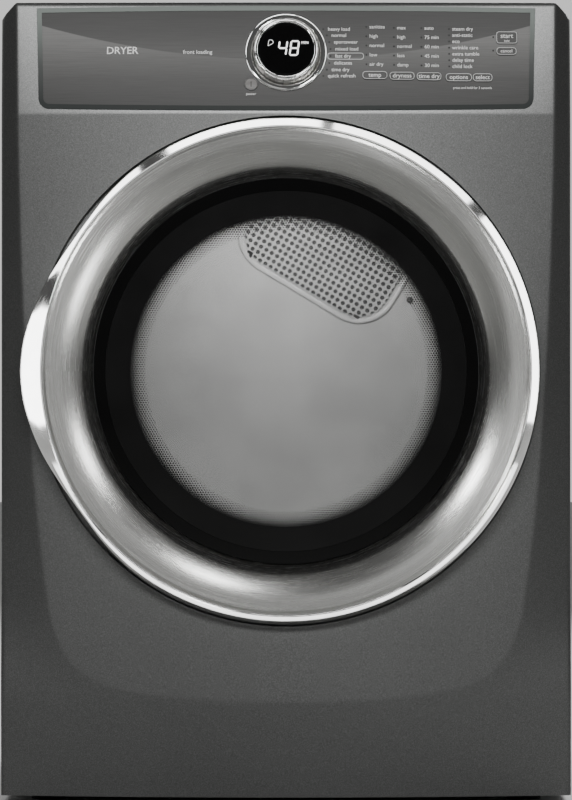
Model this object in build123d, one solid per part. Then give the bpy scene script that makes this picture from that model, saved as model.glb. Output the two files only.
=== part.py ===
from build123d import *
import math
import os

# Front-loading clothes dryer, in millimetres.
# Frame: +Z up, the front faces -Y, +X is to the right seen from the front.
# The origin is on the floor, at the middle of the overall width and depth.

# Overall size
width = 686.0
depth = 800.0
height = 965.0
half_width = width / 2
front_limit = -depth / 2
back_limit = depth / 2
sheet = 1.2
gap = 0.3

# Cabinet shell
shell_bottom = 11.0
front_back_edge = -300.0
rear_face = 385.0
top_pan_height = 25.0
bevel = 18.0
bevel_inner_x = half_width - bevel

# Front surface: bowed in plan, and leaning back from the console upwards
front_mid = -375.0
front_bow = 26.7
lean_start = 830.0
lean_depth = 35.0
top_bow = 8.0
lean_angle = math.degrees(math.atan2(lean_depth, height - lean_start))

# Console
console_z = 896.0
console_half = 66.0
console_corner_drop = 9.0
console_top_x = 300.0
console_bottom_x = 297.0
bezel_rim = 6.0
overlay_thick = 2.0
button_travel = 1.0
button_gap = 0.4
dial_z = 903.0

# Door: round, about an axis along Y
door_z = 521.0
ring_r = 302.0
ring_front = front_limit
ring_back = -356.0
ring_inner_r = 231.0
recess_r = 305.5
recess_floor = -350.0
opening_r = 232.0
latch_x = -262.0
hinge_x = 292.0
hinge_y = -378.0
hinge_pin_r = 4.0
running_gap = 0.05

# Drum: turns about an axis along Y
drum_z = 560.0
drum_r = 322.0
drum_inner_r = 320.0
drum_front = -240.0
drum_back = 280.0
collar_r = 314.0
front_wall = -245.0
rear_wall = 290.0
throat_r = 205.0

# Hot-air grille and heater, tilted on the rear wall
grille_x = 52.0
grille_z = 689.0
grille_tilt = 31.0
grille_wide = 234.0
grille_tall = 140.0
grille_corner = 54.0
grille_border = 9.0
grille_thick = 1.5
hole_pitch = 16.6
hole_r = 5.2
heater_grow = 5.0
heater_deep = 70.0
grille_place = Pos(grille_x, rear_wall, grille_z) * Rot(0, grille_tilt, 0) * Rot(90, 0, 0)

# Drum rollers
roller_r = 38.0
roller_z = 276.0
roller_x = math.sqrt((drum_r + roller_r + gap) ** 2 - (drum_z - roller_z) ** 2)
roller_axle_r = 5.0

# Drive
motor_x = 150.0
motor_z = 150.0
motor_r = 70.0
shaft_r = 6.0
pulley_r = 10.0
belt_y = 15.0
belt_width = 8.0
belt_thick = 2.0
idler_x = 72.2
idler_z = 153.2
idler_r = 25.0
pivot_x = 120.0
pivot_z = 70.0
pin_r = 4.0

# Air path
exhaust_z = 95.0
exhaust_r = 50.0
exhaust_collar = 13.0
blower_r = 108.0
blower_front = front_wall
blower_back = -165.0
impeller_r = 90.0
outlet_x = 40.0
inlet_r = 55.0
duct_wall = 2.0
filter_half = 80.0
filter_front = -281.0
filter_back = -261.0

# Rear connections
inlet_x = 255.0
inlet_z = 130.0
cord_hole_r = 14.3


# ---------------------------------------------------------------- helpers

def block(x0, x1, y0, y1, z0, z1):
    """A box between two corners."""
    return Pos((x0 + x1) / 2, (y0 + y1) / 2, (z0 + z1) / 2) * Box(x1 - x0, y1 - y0, z1 - z0)


def rod_y(r, y0, y1, x=0.0, z=0.0):
    """A round bar along Y."""
    return Pos(x, (y0 + y1) / 2, z) * Rot(90, 0, 0) * Cylinder(r, y1 - y0)


def tube_y(r_out, r_in, y0, y1, x=0.0, z=0.0):
    """A round tube along Y."""
    return rod_y(r_out, y0, y1, x, z) - rod_y(r_in, y0 - 1, y1 + 1, x, z)


def rod_z(r, z0, z1, x, y):
    """A round bar along Z."""
    return Pos(x, y, (z0 + z1) / 2) * Cylinder(r, z1 - z0)


def turned_y(points, x=0.0, z=0.0):
    """A solid turned about an axis along Y from (radius, y) points."""
    profile = make_face(Polyline(*points, close=True))
    return Pos(x, 0, z) * revolve(profile, Axis.Y)


def slab(points, y0, y1):
    """A plate along Y from an outline of (x, z) points."""
    plane = Plane(origin=(0, y0, 0), x_dir=(1, 0, 0), z_dir=(0, -1, 0))
    face = plane * make_face(Polyline(*points, close=True))
    return extrude(face, amount=y0 - y1)


def polar(angle, r):
    """X and Z of a point at an angle, in degrees, from the +X direction."""
    return r * math.cos(math.radians(angle)), r * math.sin(math.radians(angle))


# ---------------------------------------------------------------- front surface

def lean_share(z):
    """0 below the console, 1 at the top of the cabinet."""
    return max(0.0, (z - lean_start) / (height - lean_start))


def front_y(x, z):
    """The front surface's Y at a point."""
    share = lean_share(z)
    bow = front_bow + (top_bow - front_bow) * share
    return front_mid + lean_depth * share + bow * (x / bevel_inner_x) ** 2


def front_section(z, inset, back):
    """The plan outline of the front at one height, pulled in by inset."""
    share = lean_share(z)
    middle = front_mid + lean_depth * share + inset
    bow = front_bow + (top_bow - front_bow) * share
    corner_x = bevel_inner_x - 0.5 * inset
    corner_y = middle + bow - 0.08 * inset
    side_x = half_width - inset
    side_y = middle + bow + bevel - 0.59 * inset
    arc = ThreePointArc((-corner_x, corner_y), (0, middle), (corner_x, corner_y))
    rest = Polyline(
        (corner_x, corner_y), (side_x, side_y), (side_x, back),
        (-side_x, back), (-side_x, side_y), (-corner_x, corner_y))
    return Pos(0, 0, z) * make_face([arc, rest])


def front_block(inset, back):
    """The solid behind the front surface, pulled in by inset."""
    low = shell_bottom + inset
    lower = extrude(front_section(low, inset, back), amount=lean_start - low)
    upper = loft(
        [front_section(lean_start, inset, back), front_section(height - inset, inset, back)],
        ruled=True)
    solid = lower + upper
    reach = 110.0
    edge = bevel_inner_x + height - math.sqrt(2) * inset
    for side in (-1, 1):
        corner = [
            (side * (edge - height - reach), height + reach), (side * (edge - height + reach), height - reach),
            (side * (half_width + reach), height - reach), (side * (half_width + reach), height + reach)]
        solid -= slab(corner, front_limit, back + 10)
    return solid


def console_block(proud):
    """The solid behind the leaning console surface, raised by proud."""
    margin = 3.0
    bottom = front_section(lean_start, -proud, front_back_edge)
    top = front_section(height + margin, -proud, front_back_edge)
    return loft([bottom, top], ruled=True)


def console_plane(x, z):
    """A plane on the console surface, with its Z pointing outwards."""
    step = 0.5
    slope_x = (front_y(x + step, z) - front_y(x - step, z)) / (2 * step)
    slope_z = (front_y(x, z + step) - front_y(x, z - step)) / (2 * step)
    return Plane(origin=(x, front_y(x, z), z), x_dir=(1, slope_x, 0), z_dir=(slope_x, -1, slope_z))


def console_outline(inset):
    """The console's outline: straight top and sides, and a bowed lower edge."""
    top = Line((-console_top_x, console_half), (console_top_x, console_half))
    low = console_corner_drop - console_half
    right = Line((console_top_x, console_half), (console_bottom_x, low))
    bottom = ThreePointArc((console_bottom_x, low), (0, -console_half), (-console_bottom_x, low))
    left = Line((-console_bottom_x, low), (-console_top_x, console_half))
    face = make_face([top, right, bottom, left])
    face = fillet(face.vertices().group_by(Axis.Y)[0], 14.0)
    return offset(face, amount=-inset) if inset else face


def console_prism(inset, low, high):
    """The console's outline as a prism square to the surface at its middle."""
    face = console_plane(0, console_z) * console_outline(inset)
    return extrude(Sketch() + face, amount=high) + extrude(Sketch() + face, amount=low)


def console_pin(sketch, x, z, low, high):
    """A prism on the console surface, square to it at (x, z)."""
    plane = console_plane(x, z)
    return plane * (Pos(0, 0, low) * extrude(sketch, amount=high - low))


# ---------------------------------------------------------------- cabinet

def front_panel():
    outer = front_block(0.0, front_back_edge)
    outer -= rod_y(recess_r, front_limit, recess_floor, 0, door_z)
    inner = front_block(sheet, front_back_edge + 10)
    inner -= rod_y(recess_r + sheet, front_limit, recess_floor + sheet, 0, door_z)
    panel = outer - inner
    panel -= rod_y(opening_r, recess_floor - 5, recess_floor + 5, 0, door_z)
    panel += tube_y(opening_r + sheet, opening_r, recess_floor + sheet, recess_floor + 12, 0, door_z)
    panel -= console_prism(0.0, -50.0, 20.0)
    panel -= block(latch_x - 8, latch_x + 8, recess_floor - 5, recess_floor + 5, door_z - 12, door_z + 12)
    return panel


def side_panel(side):
    """A side sheet with a top flange, a rear flange and a stiffening bead."""
    outer = side * half_width
    inner = side * (half_width - sheet)
    flange = side * (half_width - 16)
    top = height - top_pan_height - gap
    front = front_back_edge + gap
    panel = block(min(outer, inner), max(outer, inner), front, rear_face, shell_bottom, top)
    panel += block(min(inner, flange), max(inner, flange), front + 20, rear_face - 20, top - sheet, top)
    panel += block(min(inner, flange), max(inner, flange), rear_face - 3 - sheet, rear_face - 3, 45, top - 20)
    return panel


def top_panel():
    """A pan with a rounded edge, turned down over the side panels."""
    low = height - top_pan_height
    front = front_back_edge + gap
    outer = block(-half_width, half_width, front, rear_face, low, height)
    outer = fillet(outer.edges().filter_by(Axis.Y).group_by(Axis.Z)[-1], 9.0)
    inner = block(
        sheet - half_width, half_width - sheet, front + sheet, rear_face - sheet, low - 1, height - sheet)
    inner = fillet(inner.edges().filter_by(Axis.Y).group_by(Axis.Z)[-1], 9.0 - sheet)
    return outer - inner


def rear_panel():
    edge = half_width - sheet - gap
    top = height - top_pan_height - gap
    panel = block(-edge, edge, rear_face - sheet, rear_face, shell_bottom + 4, top)
    panel -= rod_y(exhaust_r + 1.5, rear_face - 5, rear_face + 5, 0, exhaust_z)
    panel -= block(inlet_x - 40, inlet_x + 40, rear_face - 5, rear_face + 5, inlet_z - 45, inlet_z + 45)
    for row in range(3):
        for column in range(9):
            x = (column - 4) * 24.0
            z = 800.0 + row * 30.0
            panel -= block(x - 8, x + 8, rear_face - 5, rear_face + 5, z - 2.5, z + 2.5)
    return panel


foot_places = {
    "front_left": (-290.0, -250.0), "front_right": (290.0, -250.0),
    "rear_left": (-290.0, 340.0), "rear_right": (290.0, 340.0)}


def base_pan():
    edge = half_width - sheet - gap
    front = front_back_edge + 5
    back = rear_face - sheet - gap
    low = shell_bottom + 4
    pan = block(-edge, edge, front, back, low, low + 28)
    pan -= block(sheet - edge, edge - sheet, front + sheet, back - sheet, low + sheet, low + 30)
    for x, y in foot_places.values():
        pan += rod_z(11.0, low, low + 22, x, y)
        pan -= rod_z(6.0 + gap, low - 5, low + 30, x, y)
    return pan


def levelling_foot(x, y):
    """A threaded stem on a round pad."""
    pad = rod_z(21.0, 0.0, 7.0, x, y)
    pad = chamfer(pad.edges().group_by(Axis.Z)[-1], 2.0)
    return pad + rod_z(6.0, 7.0, 50.0, x, y)


def cabinet_screws():
    """Hexagon-head screws round the rear panel."""
    heads = []
    edge = half_width - 10
    places = [(side * edge, z) for side in (-1, 1) for z in (60, 270, 480, 690, 900)]
    places += [(x, 925) for x in (-150, 0, 150)]
    for x, z in places:
        head = extrude(RegularPolygon(4.5, 6), amount=2.6)
        heads.append(Pos(x, rear_face, z) * Rot(-90, 0, 0) * head)
    return heads


# ---------------------------------------------------------------- console

arc_led_count = 8
arc_led_r = 53.5
arc_led_top = 33.4
arc_led_step = 9.55
led_columns = {96.4: (934.4, 11.4, 5), 129.5: (933.3, 11.3, 5), 162.5: (933.1, 11.4, 5), 195.8: (932.1, 7.6, 7)}
single_leds = ((249.0, 922.5), (248.8, 906.0))
led_r = 1.1

# Button: x, z, width, height, corner radius
buttons = {
    "temp_button": (106.5, 875.1, 30.0, 10.0, 4.9),
    "dryness_button": (139.1, 874.3, 30.0, 10.0, 4.9),
    "time_button": (171.5, 873.8, 29.6, 10.0, 4.9),
    "options_button": (207.2, 872.8, 31.4, 10.0, 4.9),
    "select_button": (235.9, 872.8, 23.6, 10.0, 4.9),
    "start_button": (265.3, 921.5, 25.0, 15.0, 3.5),
    "cancel_button": (264.9, 905.0, 24.2, 9.4, 4.6),
    "power_button": (-41.8, 864.3, 15.8, 15.8, 7.85)}


def led_places():
    places = list(single_leds)
    for index in range(arc_led_count):
        dx, dz = polar(arc_led_top - index * arc_led_step, arc_led_r)
        places.append((dx, dial_z + dz * math.cos(math.radians(lean_angle))))
    for x, (z_top, pitch, count) in led_columns.items():
        places += [(x, z_top - row * pitch) for row in range(count)]
    return places


def button_shape(name, grow=0.0):
    _, _, wide, tall, corner = buttons[name]
    return RectangleRounded(wide + 2 * grow, tall + 2 * grow, corner + grow)


def console_bezel():
    """A moulded rim, with a ledge inside it that the overlay sits on."""
    back = console_block(-9.0)
    rim = console_prism(gap, -50.0, 20.0) - console_prism(bezel_rim, -60.0, 30.0)
    ledge = console_prism(bezel_rim - 1, -50.0, 20.0) - console_prism(bezel_rim + 6, -60.0, 30.0)
    return (rim & (console_block(1.0) - back)) + (ledge & (console_block(-overlay_thick) - back))


def console_overlay():
    plate = console_prism(bezel_rim, -50.0, 20.0) & (console_block(0.0) - console_block(-overlay_thick))
    plate -= console_pin(Circle(40.6), 0, dial_z, -20, 20)
    for name, (x, z, *_) in buttons.items():
        plate -= console_pin(button_shape(name, button_gap), x, z, -20, 20)
    for x, z in led_places():
        plate -= console_pin(Circle(led_r), x, z, -20, 20)
    return plate


def indicator_lights():
    return [console_pin(Circle(led_r), x, z, -4.0, 0.2) for x, z in led_places()]


def console_button(name):
    """A cap that follows the console surface, on a shorter stem."""
    x, z, *_ = buttons[name]
    cap = console_pin(button_shape(name), x, z, -5.0, 5.0) & console_block(0.9)
    stem = console_pin(Circle(2.2), x, z, -9.0, -5.0)
    return cap + stem


def dial_turned(points):
    """A solid turned about the dial's axis from (radius, height) points."""
    profile = make_face(Polyline(*[(r, 0, h) for r, h in points], close=True))
    return console_plane(0, dial_z) * revolve(profile, Axis.Z)


def dial_bezel():
    return dial_turned([(40.6, 0.6), (48.6, 0.6), (48.6, 1.6), (46.8, 3.0), (41.6, 3.0), (40.6, 2.2)])


def selector_knob():
    return dial_turned([
        (33.8, -8.0), (43.0, -8.0), (43.0, -6.0), (40.0, -6.0), (40.0, 4.0), (37.2, 12.6),
        (36.4, 13.7), (34.4, 13.7), (33.8, 13.1)])


def display_window():
    """The fixed window inside the knob, on a stalk from the board."""
    lens = dial_turned([(0, 9.0), (33.2, 9.0), (33.2, 12.2), (32.4, 13.0), (0, 13.0)])
    stalk = dial_turned([(0, -13.0), (16.0, -13.0), (16.0, 9.0), (0, 9.0)])
    return lens + stalk


def interface_board():
    plane = console_plane(0, console_z)
    board = plane * (Pos(20, 0, -32.0) * Box(540, 92, 1.6))
    spacer = console_pin(Circle(16.0), 0, dial_z, -32.0, -13.0)
    return board + spacer


# ---------------------------------------------------------------- door

# Distance of the door's edge from its middle, by angle from the handle side
edge_by_angle = {0: 318.0, 11: 313.0, 17: 308.5, 25: 301.4, 31: 297.2, 37: 296.5, 45: 299.4}
edge_full_angle = 52.0
lobe_back = -376.0
lobe_reach = 105.0


def door_outline(inset):
    """The door's outline: a circle with a handle lobe on the left."""
    r = ring_r - inset
    angles = sorted({-a for a in edge_by_angle} | set(edge_by_angle), reverse=True)
    points = [polar(180 - edge_full_angle, r)]
    points += [polar(180 - a, edge_by_angle[abs(a)] - inset) for a in angles]
    points.append(polar(180 + edge_full_angle, r))
    leave = polar(180 - edge_full_angle + 90, 1)
    arrive = polar(180 + edge_full_angle + 90, 1)
    lobe = Spline(*points, tangents=[leave, arrive])
    rest = ThreePointArc(points[-1], (r, 0), points[0])
    return make_face([lobe, rest])


def door_face(inset, y):
    plane = Plane(origin=(0, y, door_z), x_dir=(1, 0, 0), z_dir=(0, -1, 0))
    return plane * door_outline(inset)


def door_ring():
    """The dished trim ring: hollow behind, cut away behind the handle lobe and round the hinge."""
    edge_y = ring_front + 12
    body = extrude(door_face(0.0, ring_back), amount=ring_back - edge_y)
    body += loft([door_face(0.0, edge_y), door_face(11.0, ring_front)], ruled=True)
    body -= turned_y([
        (0, ring_front - 1), (289.5, ring_front - 1), (289.5, ring_front), (275, -398), (255, -393.5),
        (240, -386), (ring_inner_r, -375), (ring_inner_r, ring_back + 1), (0, ring_back + 1)], 0, door_z)
    body -= turned_y([
        (238, ring_back + 1), (238, -377), (245, -382), (258, -389), (275, -393.5), (286, -394.5),
        (291, -388), (291, ring_back + 1)], 0, door_z)
    body -= tube_y(240, 200, -362.0, ring_back + 1, 0, door_z)
    body -= block(-340, -285, lobe_back, ring_back + 1, door_z - lobe_reach, door_z + lobe_reach)
    body -= block(255, 320, -390, ring_back + 1, door_z - 52, door_z + 52)
    return body


def door_glass():
    """A lightly crowned round pane."""
    return turned_y([
        (0, -370), (230.5, -370), (230.5, -373), (228, -374.5), (150, -377.5), (75, -379.0), (0, -379.5)],
        0, door_z)


def door_liner():
    """The back of the door: a plate with a boss for the pane and a tab for the striker."""
    liner = tube_y(252, 200, -362, -358, 0, door_z)
    liner += tube_y(228, 205, -370, -362, 0, door_z)
    liner += block(-280, -240, -362, -358, door_z - 25, door_z + 25)
    return liner - rod_y(200, -375, -350, 0, door_z)


def door_bowl():
    """The inner bowl that keeps the load in the drum."""
    return turned_y([
        (200, -362), (200, -358), (192, -358), (184, -330), (174, -304), (160, -292), (0, -292),
        (0, -296), (157.5, -296), (170.5, -306.5), (180, -331.5), (188, -362)], 0, door_z)


def door_seal():
    return turned_y([
        (238, -358), (250, -358), (250, -353), (247, -350.4), (241, -350.4), (238, -353)], 0, door_z)


def door_striker():
    """A plate on the liner's tab and a hooked tongue that the latch grips."""
    base = block(latch_x - 14, latch_x + 9, -358, -356, door_z - 15, door_z + 15)
    tongue = block(latch_x - 4, latch_x + 4, -356, -334, door_z - 8, door_z + 8)
    window = block(latch_x - 5, latch_x + 5, -346, -340, door_z - 5, door_z + 5)
    return base + tongue - window


def hinge_leaf():
    """The door's half of the hinge, with the pin fixed in its barrel."""
    leaf = rod_z(7.0, door_z - 31, door_z + 31, hinge_x, hinge_y)
    leaf += block(230, hinge_x, hinge_y + 2, hinge_y + 7, door_z - 29, door_z + 29)
    leaf -= rod_y(238.0, -400, -340, 0, door_z)
    leaf += rod_z(hinge_pin_r, door_z - 48, door_z + 48, hinge_x, hinge_y)
    return leaf


def hinge_bracket():
    """The cabinet's half of the hinge: a base and two goose-neck arms."""
    bracket = block(256, 278, recess_floor - 3, recess_floor, door_z - 48, door_z + 48)
    for side in (-1, 1):
        low = door_z + side * 38 - 6
        arm = block(262, 272, hinge_y - 6, recess_floor - 3, low, low + 12)
        arm += block(262, hinge_x, hinge_y - 6, hinge_y + 6, low, low + 12)
        arm += rod_z(8.0, low, low + 12, hinge_x, hinge_y)
        arm -= rod_z(hinge_pin_r + running_gap, low - 1, low + 13, hinge_x, hinge_y)
        bracket += arm
    return bracket


def door_latch():
    """A housing behind the front panel, with a pocket for the striker's tongue."""
    front = recess_floor + sheet
    body = block(latch_x - 13, latch_x + 13, front, front + 27, door_z - 20, door_z + 20)
    return body - block(latch_x - 8, latch_x + 8, front - 1, front + 19, door_z - 12, door_z + 12)


# ---------------------------------------------------------------- drum section

def drum_shell():
    """The drum, with two rolled beads and a turned-in front lip."""
    drum = tube_y(drum_r, drum_inner_r, drum_front, drum_back, 0, drum_z)
    for y in (-120.0, 140.0):
        drum += tube_y(drum_r + 2.5, drum_r - 0.5, y - 6, y + 6, 0, drum_z)
        drum -= tube_y(drum_inner_r + 2.5, drum_inner_r - 0.5, y - 4, y + 4, 0, drum_z)
    return drum


def drum_vanes():
    """Three lifting vanes fixed inside the drum."""
    vanes = []
    for index in range(3):
        plane = Plane(origin=(0, -200, drum_z), x_dir=(1, 0, 0), z_dir=(0, -1, 0))
        profile = Polyline((-34, 330), (-10, 258), (10, 258), (34, 330), close=True)
        face = fillet(make_face(profile).vertices().group_by(Axis.Y)[0], 9.0)
        face -= offset(face, amount=-3.0)
        vane = extrude(Rot(0, 0, 90 + 120 * index) * (Sketch() + face), amount=-440)
        vanes.append((plane * vane) & rod_y(drum_inner_r, -300, 300, 0, drum_z))
    return vanes


def front_bulkhead():
    """The wall in front of the drum, its felt collar and the throat to the door."""
    edge = half_width - sheet - gap
    wall = block(-edge, edge, front_wall - sheet, front_wall, 52, 800)
    wall += tube_y(collar_r, collar_r - 2, front_wall, -212, 0, drum_z)
    wall += tube_y(throat_r + 2, throat_r, -335, front_wall, 0, door_z)
    wall -= rod_y(throat_r, -340, -200, 0, door_z)
    wall -= rod_y(inlet_r, front_wall - 5, front_wall + 5, motor_x, motor_z)
    slot = block(-filter_half - 3, filter_half + 3, filter_front - 3, filter_back + 3, 300, 400)
    return wall - slot


def rear_bulkhead():
    """The wall behind the drum, its felt collar and the hot-air opening."""
    edge = half_width - sheet - gap
    wall = block(-edge, edge, rear_wall, rear_wall + sheet, 170, 910)
    wall += tube_y(collar_r, collar_r - 2, 252, rear_wall, 0, drum_z)
    opening = RectangleRounded(
        grille_wide - 2 * grille_border, grille_tall - 2 * grille_border, grille_corner - grille_border)
    wall -= grille_place * extrude(opening, amount=40, both=True)
    return wall


def drum_seals():
    """Felt rings between the drum and the two collars."""
    return [tube_y(drum_inner_r - gap, collar_r, y, y + 20, 0, drum_z) for y in (-236, 256)]


def moisture_sensor_bars():
    return [block(-60, 60, front_wall, front_wall + 3, z, z + 6) for z in (284, 297)]


def heater_grille():
    """A perforated cover over the hot-air opening, on the drum's side of the rear wall."""
    plate = Sketch() + RectangleRounded(grille_wide, grille_tall, grille_corner)
    field = 2 * (grille_border + hole_r)
    reach_x = (grille_wide - field) / 2
    reach_z = (grille_tall - field) / 2
    corner = grille_corner - field / 2
    for row in range(-3, 4):
        for column in range(-6, 7):
            x = column * hole_pitch
            z = row * hole_pitch
            over_x = max(0.0, abs(x) - reach_x + corner)
            over_z = max(0.0, abs(z) - reach_z + corner)
            if math.hypot(over_x, over_z) < corner:
                plate -= Pos(x, z) * Circle(hole_r)
    return grille_place * extrude(plate, amount=grille_thick)


def heater_housing():
    """A sheet-metal tray that carries the element behind the rear wall."""
    wide = grille_wide + 2 * heater_grow
    tall = grille_tall + 2 * heater_grow
    corner = grille_corner + heater_grow
    outer = extrude(RectangleRounded(wide, tall, corner), amount=-heater_deep)
    inner = extrude(
        RectangleRounded(wide - 2 * sheet, tall - 2 * sheet, corner - sheet), amount=sheet - heater_deep)
    return grille_place * (Pos(0, 0, -sheet) * (outer - inner))


def heater_coil():
    """The element: one rod bent to and fro across the tray."""
    runs = 5
    reach = 75.0
    pitch = 22.0
    points = []
    for run in range(runs):
        z = (run - (runs - 1) / 2) * pitch
        side = 1 if run % 2 else -1
        points += [(side * reach, z), (-side * reach, z)]
    path = FilletPolyline(*points, radius=pitch / 2 - 0.5)
    start = Plane(origin=path @ 0, z_dir=path % 0)
    rod = sweep(start * Circle(3.0), path=path)
    return grille_place * (Pos(0, 0, -35) * rod)


def roller_axles():
    """The rollers' axles, fixed in the rear wall."""
    return [
        rod_y(roller_axle_r, 232, rear_wall, side * roller_x, roller_z)
        + rod_y(11.0, 272, rear_wall, side * roller_x, roller_z) for side in (-1, 1)]


def drum_roller(side):
    x = side * roller_x
    profile = [
        (roller_axle_r + running_gap, 245), (16, 245), (16, 248), (roller_r - 2, 248), (roller_r, 250),
        (roller_r, 266), (roller_r - 2, 268), (16, 268), (16, 271), (roller_axle_r + running_gap, 271)]
    return turned_y(profile, x, roller_z)


# ---------------------------------------------------------------- drive

def belt_line(drum_radius, idler_radius, pulley_radius):
    """A closed belt line over the drum, outside the idler and round the pulley, in X and Z."""
    wheels = [
        ((0.0, drum_z), drum_radius, 1), ((idler_x, idler_z), idler_radius, -1),
        ((motor_x, motor_z), pulley_radius, 1)]
    straights = []
    for index, (c1, r1, turn1) in enumerate(wheels):
        c2, r2, turn2 = wheels[(index + 1) % len(wheels)]
        dx = c2[0] - c1[0]
        dz = c2[1] - c1[1]
        course = math.atan2(dz, dx) - math.asin((turn2 * r2 - turn1 * r1) / math.hypot(dx, dz))
        nx = -math.sin(course)
        nz = math.cos(course)
        start = (c1[0] - turn1 * r1 * nx, c1[1] - turn1 * r1 * nz)
        end = (c2[0] - turn2 * r2 * nx, c2[1] - turn2 * r2 * nz)
        straights.append((start, end, course))
    edges = []
    for index, (centre, r, turn) in enumerate(wheels):
        arrive = straights[index - 1]
        leave = straights[index]
        half = turn * ((turn * (leave[2] - arrive[2])) % (2 * math.pi)) / 2
        course = arrive[2] + half
        middle = (centre[0] + turn * r * math.sin(course), centre[1] - turn * r * math.cos(course))
        edges.append(ThreePointArc(arrive[1], middle, leave[0]))
        edges.append(Line(leave[0], leave[1]))
    return make_face(edges)


def drive_belt():
    inside = belt_line(drum_r + gap, idler_r + gap + belt_thick, pulley_r + gap)
    outside = belt_line(drum_r + gap + belt_thick, idler_r + gap, pulley_r + gap + belt_thick)
    plane = Plane(origin=(0, belt_y, 0), x_dir=(1, 0, 0), z_dir=(0, -1, 0))
    return plane * extrude(outside - inside, amount=belt_width / 2, both=True)


def motor_housing():
    """The motor's can on a pedestal, with the idler's pivot pin and spring post."""
    can = rod_y(motor_r, -150, -12, motor_x, motor_z)
    can = fillet(can.edges(), 8.0)
    can += rod_y(20, -12, -6, motor_x, motor_z)
    floor = shell_bottom + 4 + sheet
    can += block(105, 200, -125, -8, floor, floor + 4)
    for y in (-125, -16):
        can += block(105, 200, y, y + 8, floor, 115)
    can += rod_y(pin_r, -8, 4, pivot_x, pivot_z)
    can += rod_y(3.0, -8, 12, 194, 108)
    return can - rod_y(shaft_r + running_gap, -160, 0, motor_x, motor_z)


def motor_shaft():
    """The motor's shaft with the grooved belt pulley on its rear end."""
    shaft = rod_y(shaft_r, -232, 32, motor_x, motor_z)
    pulley = turned_y([
        (0, 6), (13, 6), (13, 8), (pulley_r, 10), (pulley_r, 20), (13, 22), (13, 24), (0, 24)],
        motor_x, motor_z)
    return shaft + pulley


def blower_wheel():
    """A squirrel-cage wheel with its hub on the motor's shaft."""
    wheel = rod_y(impeller_r, -184, -181, motor_x, motor_z)
    wheel += tube_y(impeller_r, 72, -233, -230, motor_x, motor_z)
    wheel += rod_y(14, -200, -181, motor_x, motor_z)
    for index in range(24):
        blade = Rot(0, index * 15.0, 0) * Pos(81, -207.5, 0) * Rot(0, 35, 0) * Box(16, 49, 1.6)
        wheel += Pos(motor_x, 0, motor_z) * blade
    return wheel - rod_y(shaft_r, -240, -170, motor_x, motor_z)


def blower_housing():
    """A scroll with an inlet from the duct and an outlet to the left."""
    low = motor_z - blower_r
    outer = rod_y(blower_r, blower_front, blower_back, motor_x, motor_z)
    outer += block(outlet_x, motor_x, blower_front, blower_back, low, low + 100)
    front = blower_front + duct_wall
    back = blower_back - duct_wall
    inner = rod_y(blower_r - duct_wall, front, back, motor_x, motor_z)
    inner += block(outlet_x - 5, motor_x, front, back, low + duct_wall, low + 100 - duct_wall)
    housing = outer - inner
    housing -= rod_y(inlet_r, blower_front - 1, front + 1, motor_x, motor_z)
    return housing - rod_y(shaft_r + 2, back - 1, blower_back + 1, motor_x, motor_z)


def exhaust_duct():
    """A collector beside the blower and the round pipe out of the rear panel."""
    low = motor_z - blower_r
    high = low + 106
    outer = block(-56, outlet_x, blower_front, blower_back, low, high)
    inner = block(
        -56 + duct_wall, outlet_x + 1, blower_front + duct_wall, blower_back - duct_wall,
        low + duct_wall, high - duct_wall)
    duct = outer - inner
    duct += rod_y(exhaust_r + 1, blower_back, back_limit - exhaust_collar, 0, exhaust_z)
    duct += rod_y(exhaust_r, back_limit - exhaust_collar, back_limit, 0, exhaust_z)
    return duct - rod_y(exhaust_r - 1.2, blower_back - duct_wall - 1, back_limit + 5, 0, exhaust_z)


def air_duct():
    """The duct that holds the lint filter and leads to the blower."""
    wall = front_wall - sheet
    low = 85.0
    front = filter_front - 6
    upper = block(-filter_half - 6, filter_half + 6, front, wall, low, 340)
    lower = block(-filter_half - 6, 222, front, wall, low, 215)
    inner = block(-filter_half - 3, filter_half + 3, front + 2, wall - 2, low + 2, 400)
    inner += block(-filter_half - 3, 220, front + 2, wall - 2, low + 2, 213)
    duct = upper + lower - inner
    duct -= rod_y(throat_r + 2, -400, -200, 0, door_z)
    return duct - rod_y(inlet_r, wall - 5, wall + 5, motor_x, motor_z)


def lint_filter():
    """A slim frame with a screen in it and a curved top that lies in the throat."""
    frame = block(-filter_half, filter_half, filter_front, filter_back, 112, 345)
    frame -= rod_y(throat_r - 1, -400, -200, 0, door_z)
    window = block(-filter_half + 8, filter_half - 8, filter_front - 1, filter_back + 1, 122, 296)
    screen = block(-filter_half + 7, filter_half - 7, -272, -270, 121, 297)
    grip = block(-28, 28, filter_front - 1, -274, 306, 330)
    return frame - window + screen - grip


def idler_arm():
    """A flat arm on the motor's pivot pin, carrying the idler's axle."""
    dx = idler_x - pivot_x
    dz = idler_z - pivot_z
    length = math.hypot(dx, dz)
    tilt = math.degrees(math.atan2(dz, dx))
    plane = Plane(origin=((idler_x + pivot_x) / 2, -1, (idler_z + pivot_z) / 2), x_dir=(1, 0, 0), z_dir=(0, -1, 0))
    arm = plane * (Rot(0, 0, tilt) * extrude(SlotCenterToCenter(length, 20), amount=4))
    arm += rod_y(pin_r, -1, 24, idler_x, idler_z)
    arm += rod_y(3.0, -1, 12, 101, 108)
    return arm - rod_y(pin_r + running_gap, -10, 10, pivot_x, pivot_z)


def idler_wheel():
    bore = pin_r + running_gap
    return turned_y([
        (bore, 3), (8, 3), (8, 8), (idler_r + 2, 8), (idler_r + 2, 9), (idler_r, 10), (idler_r, 20),
        (idler_r + 2, 21), (idler_r + 2, 22), (bore, 22)], idler_x, idler_z)


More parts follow.
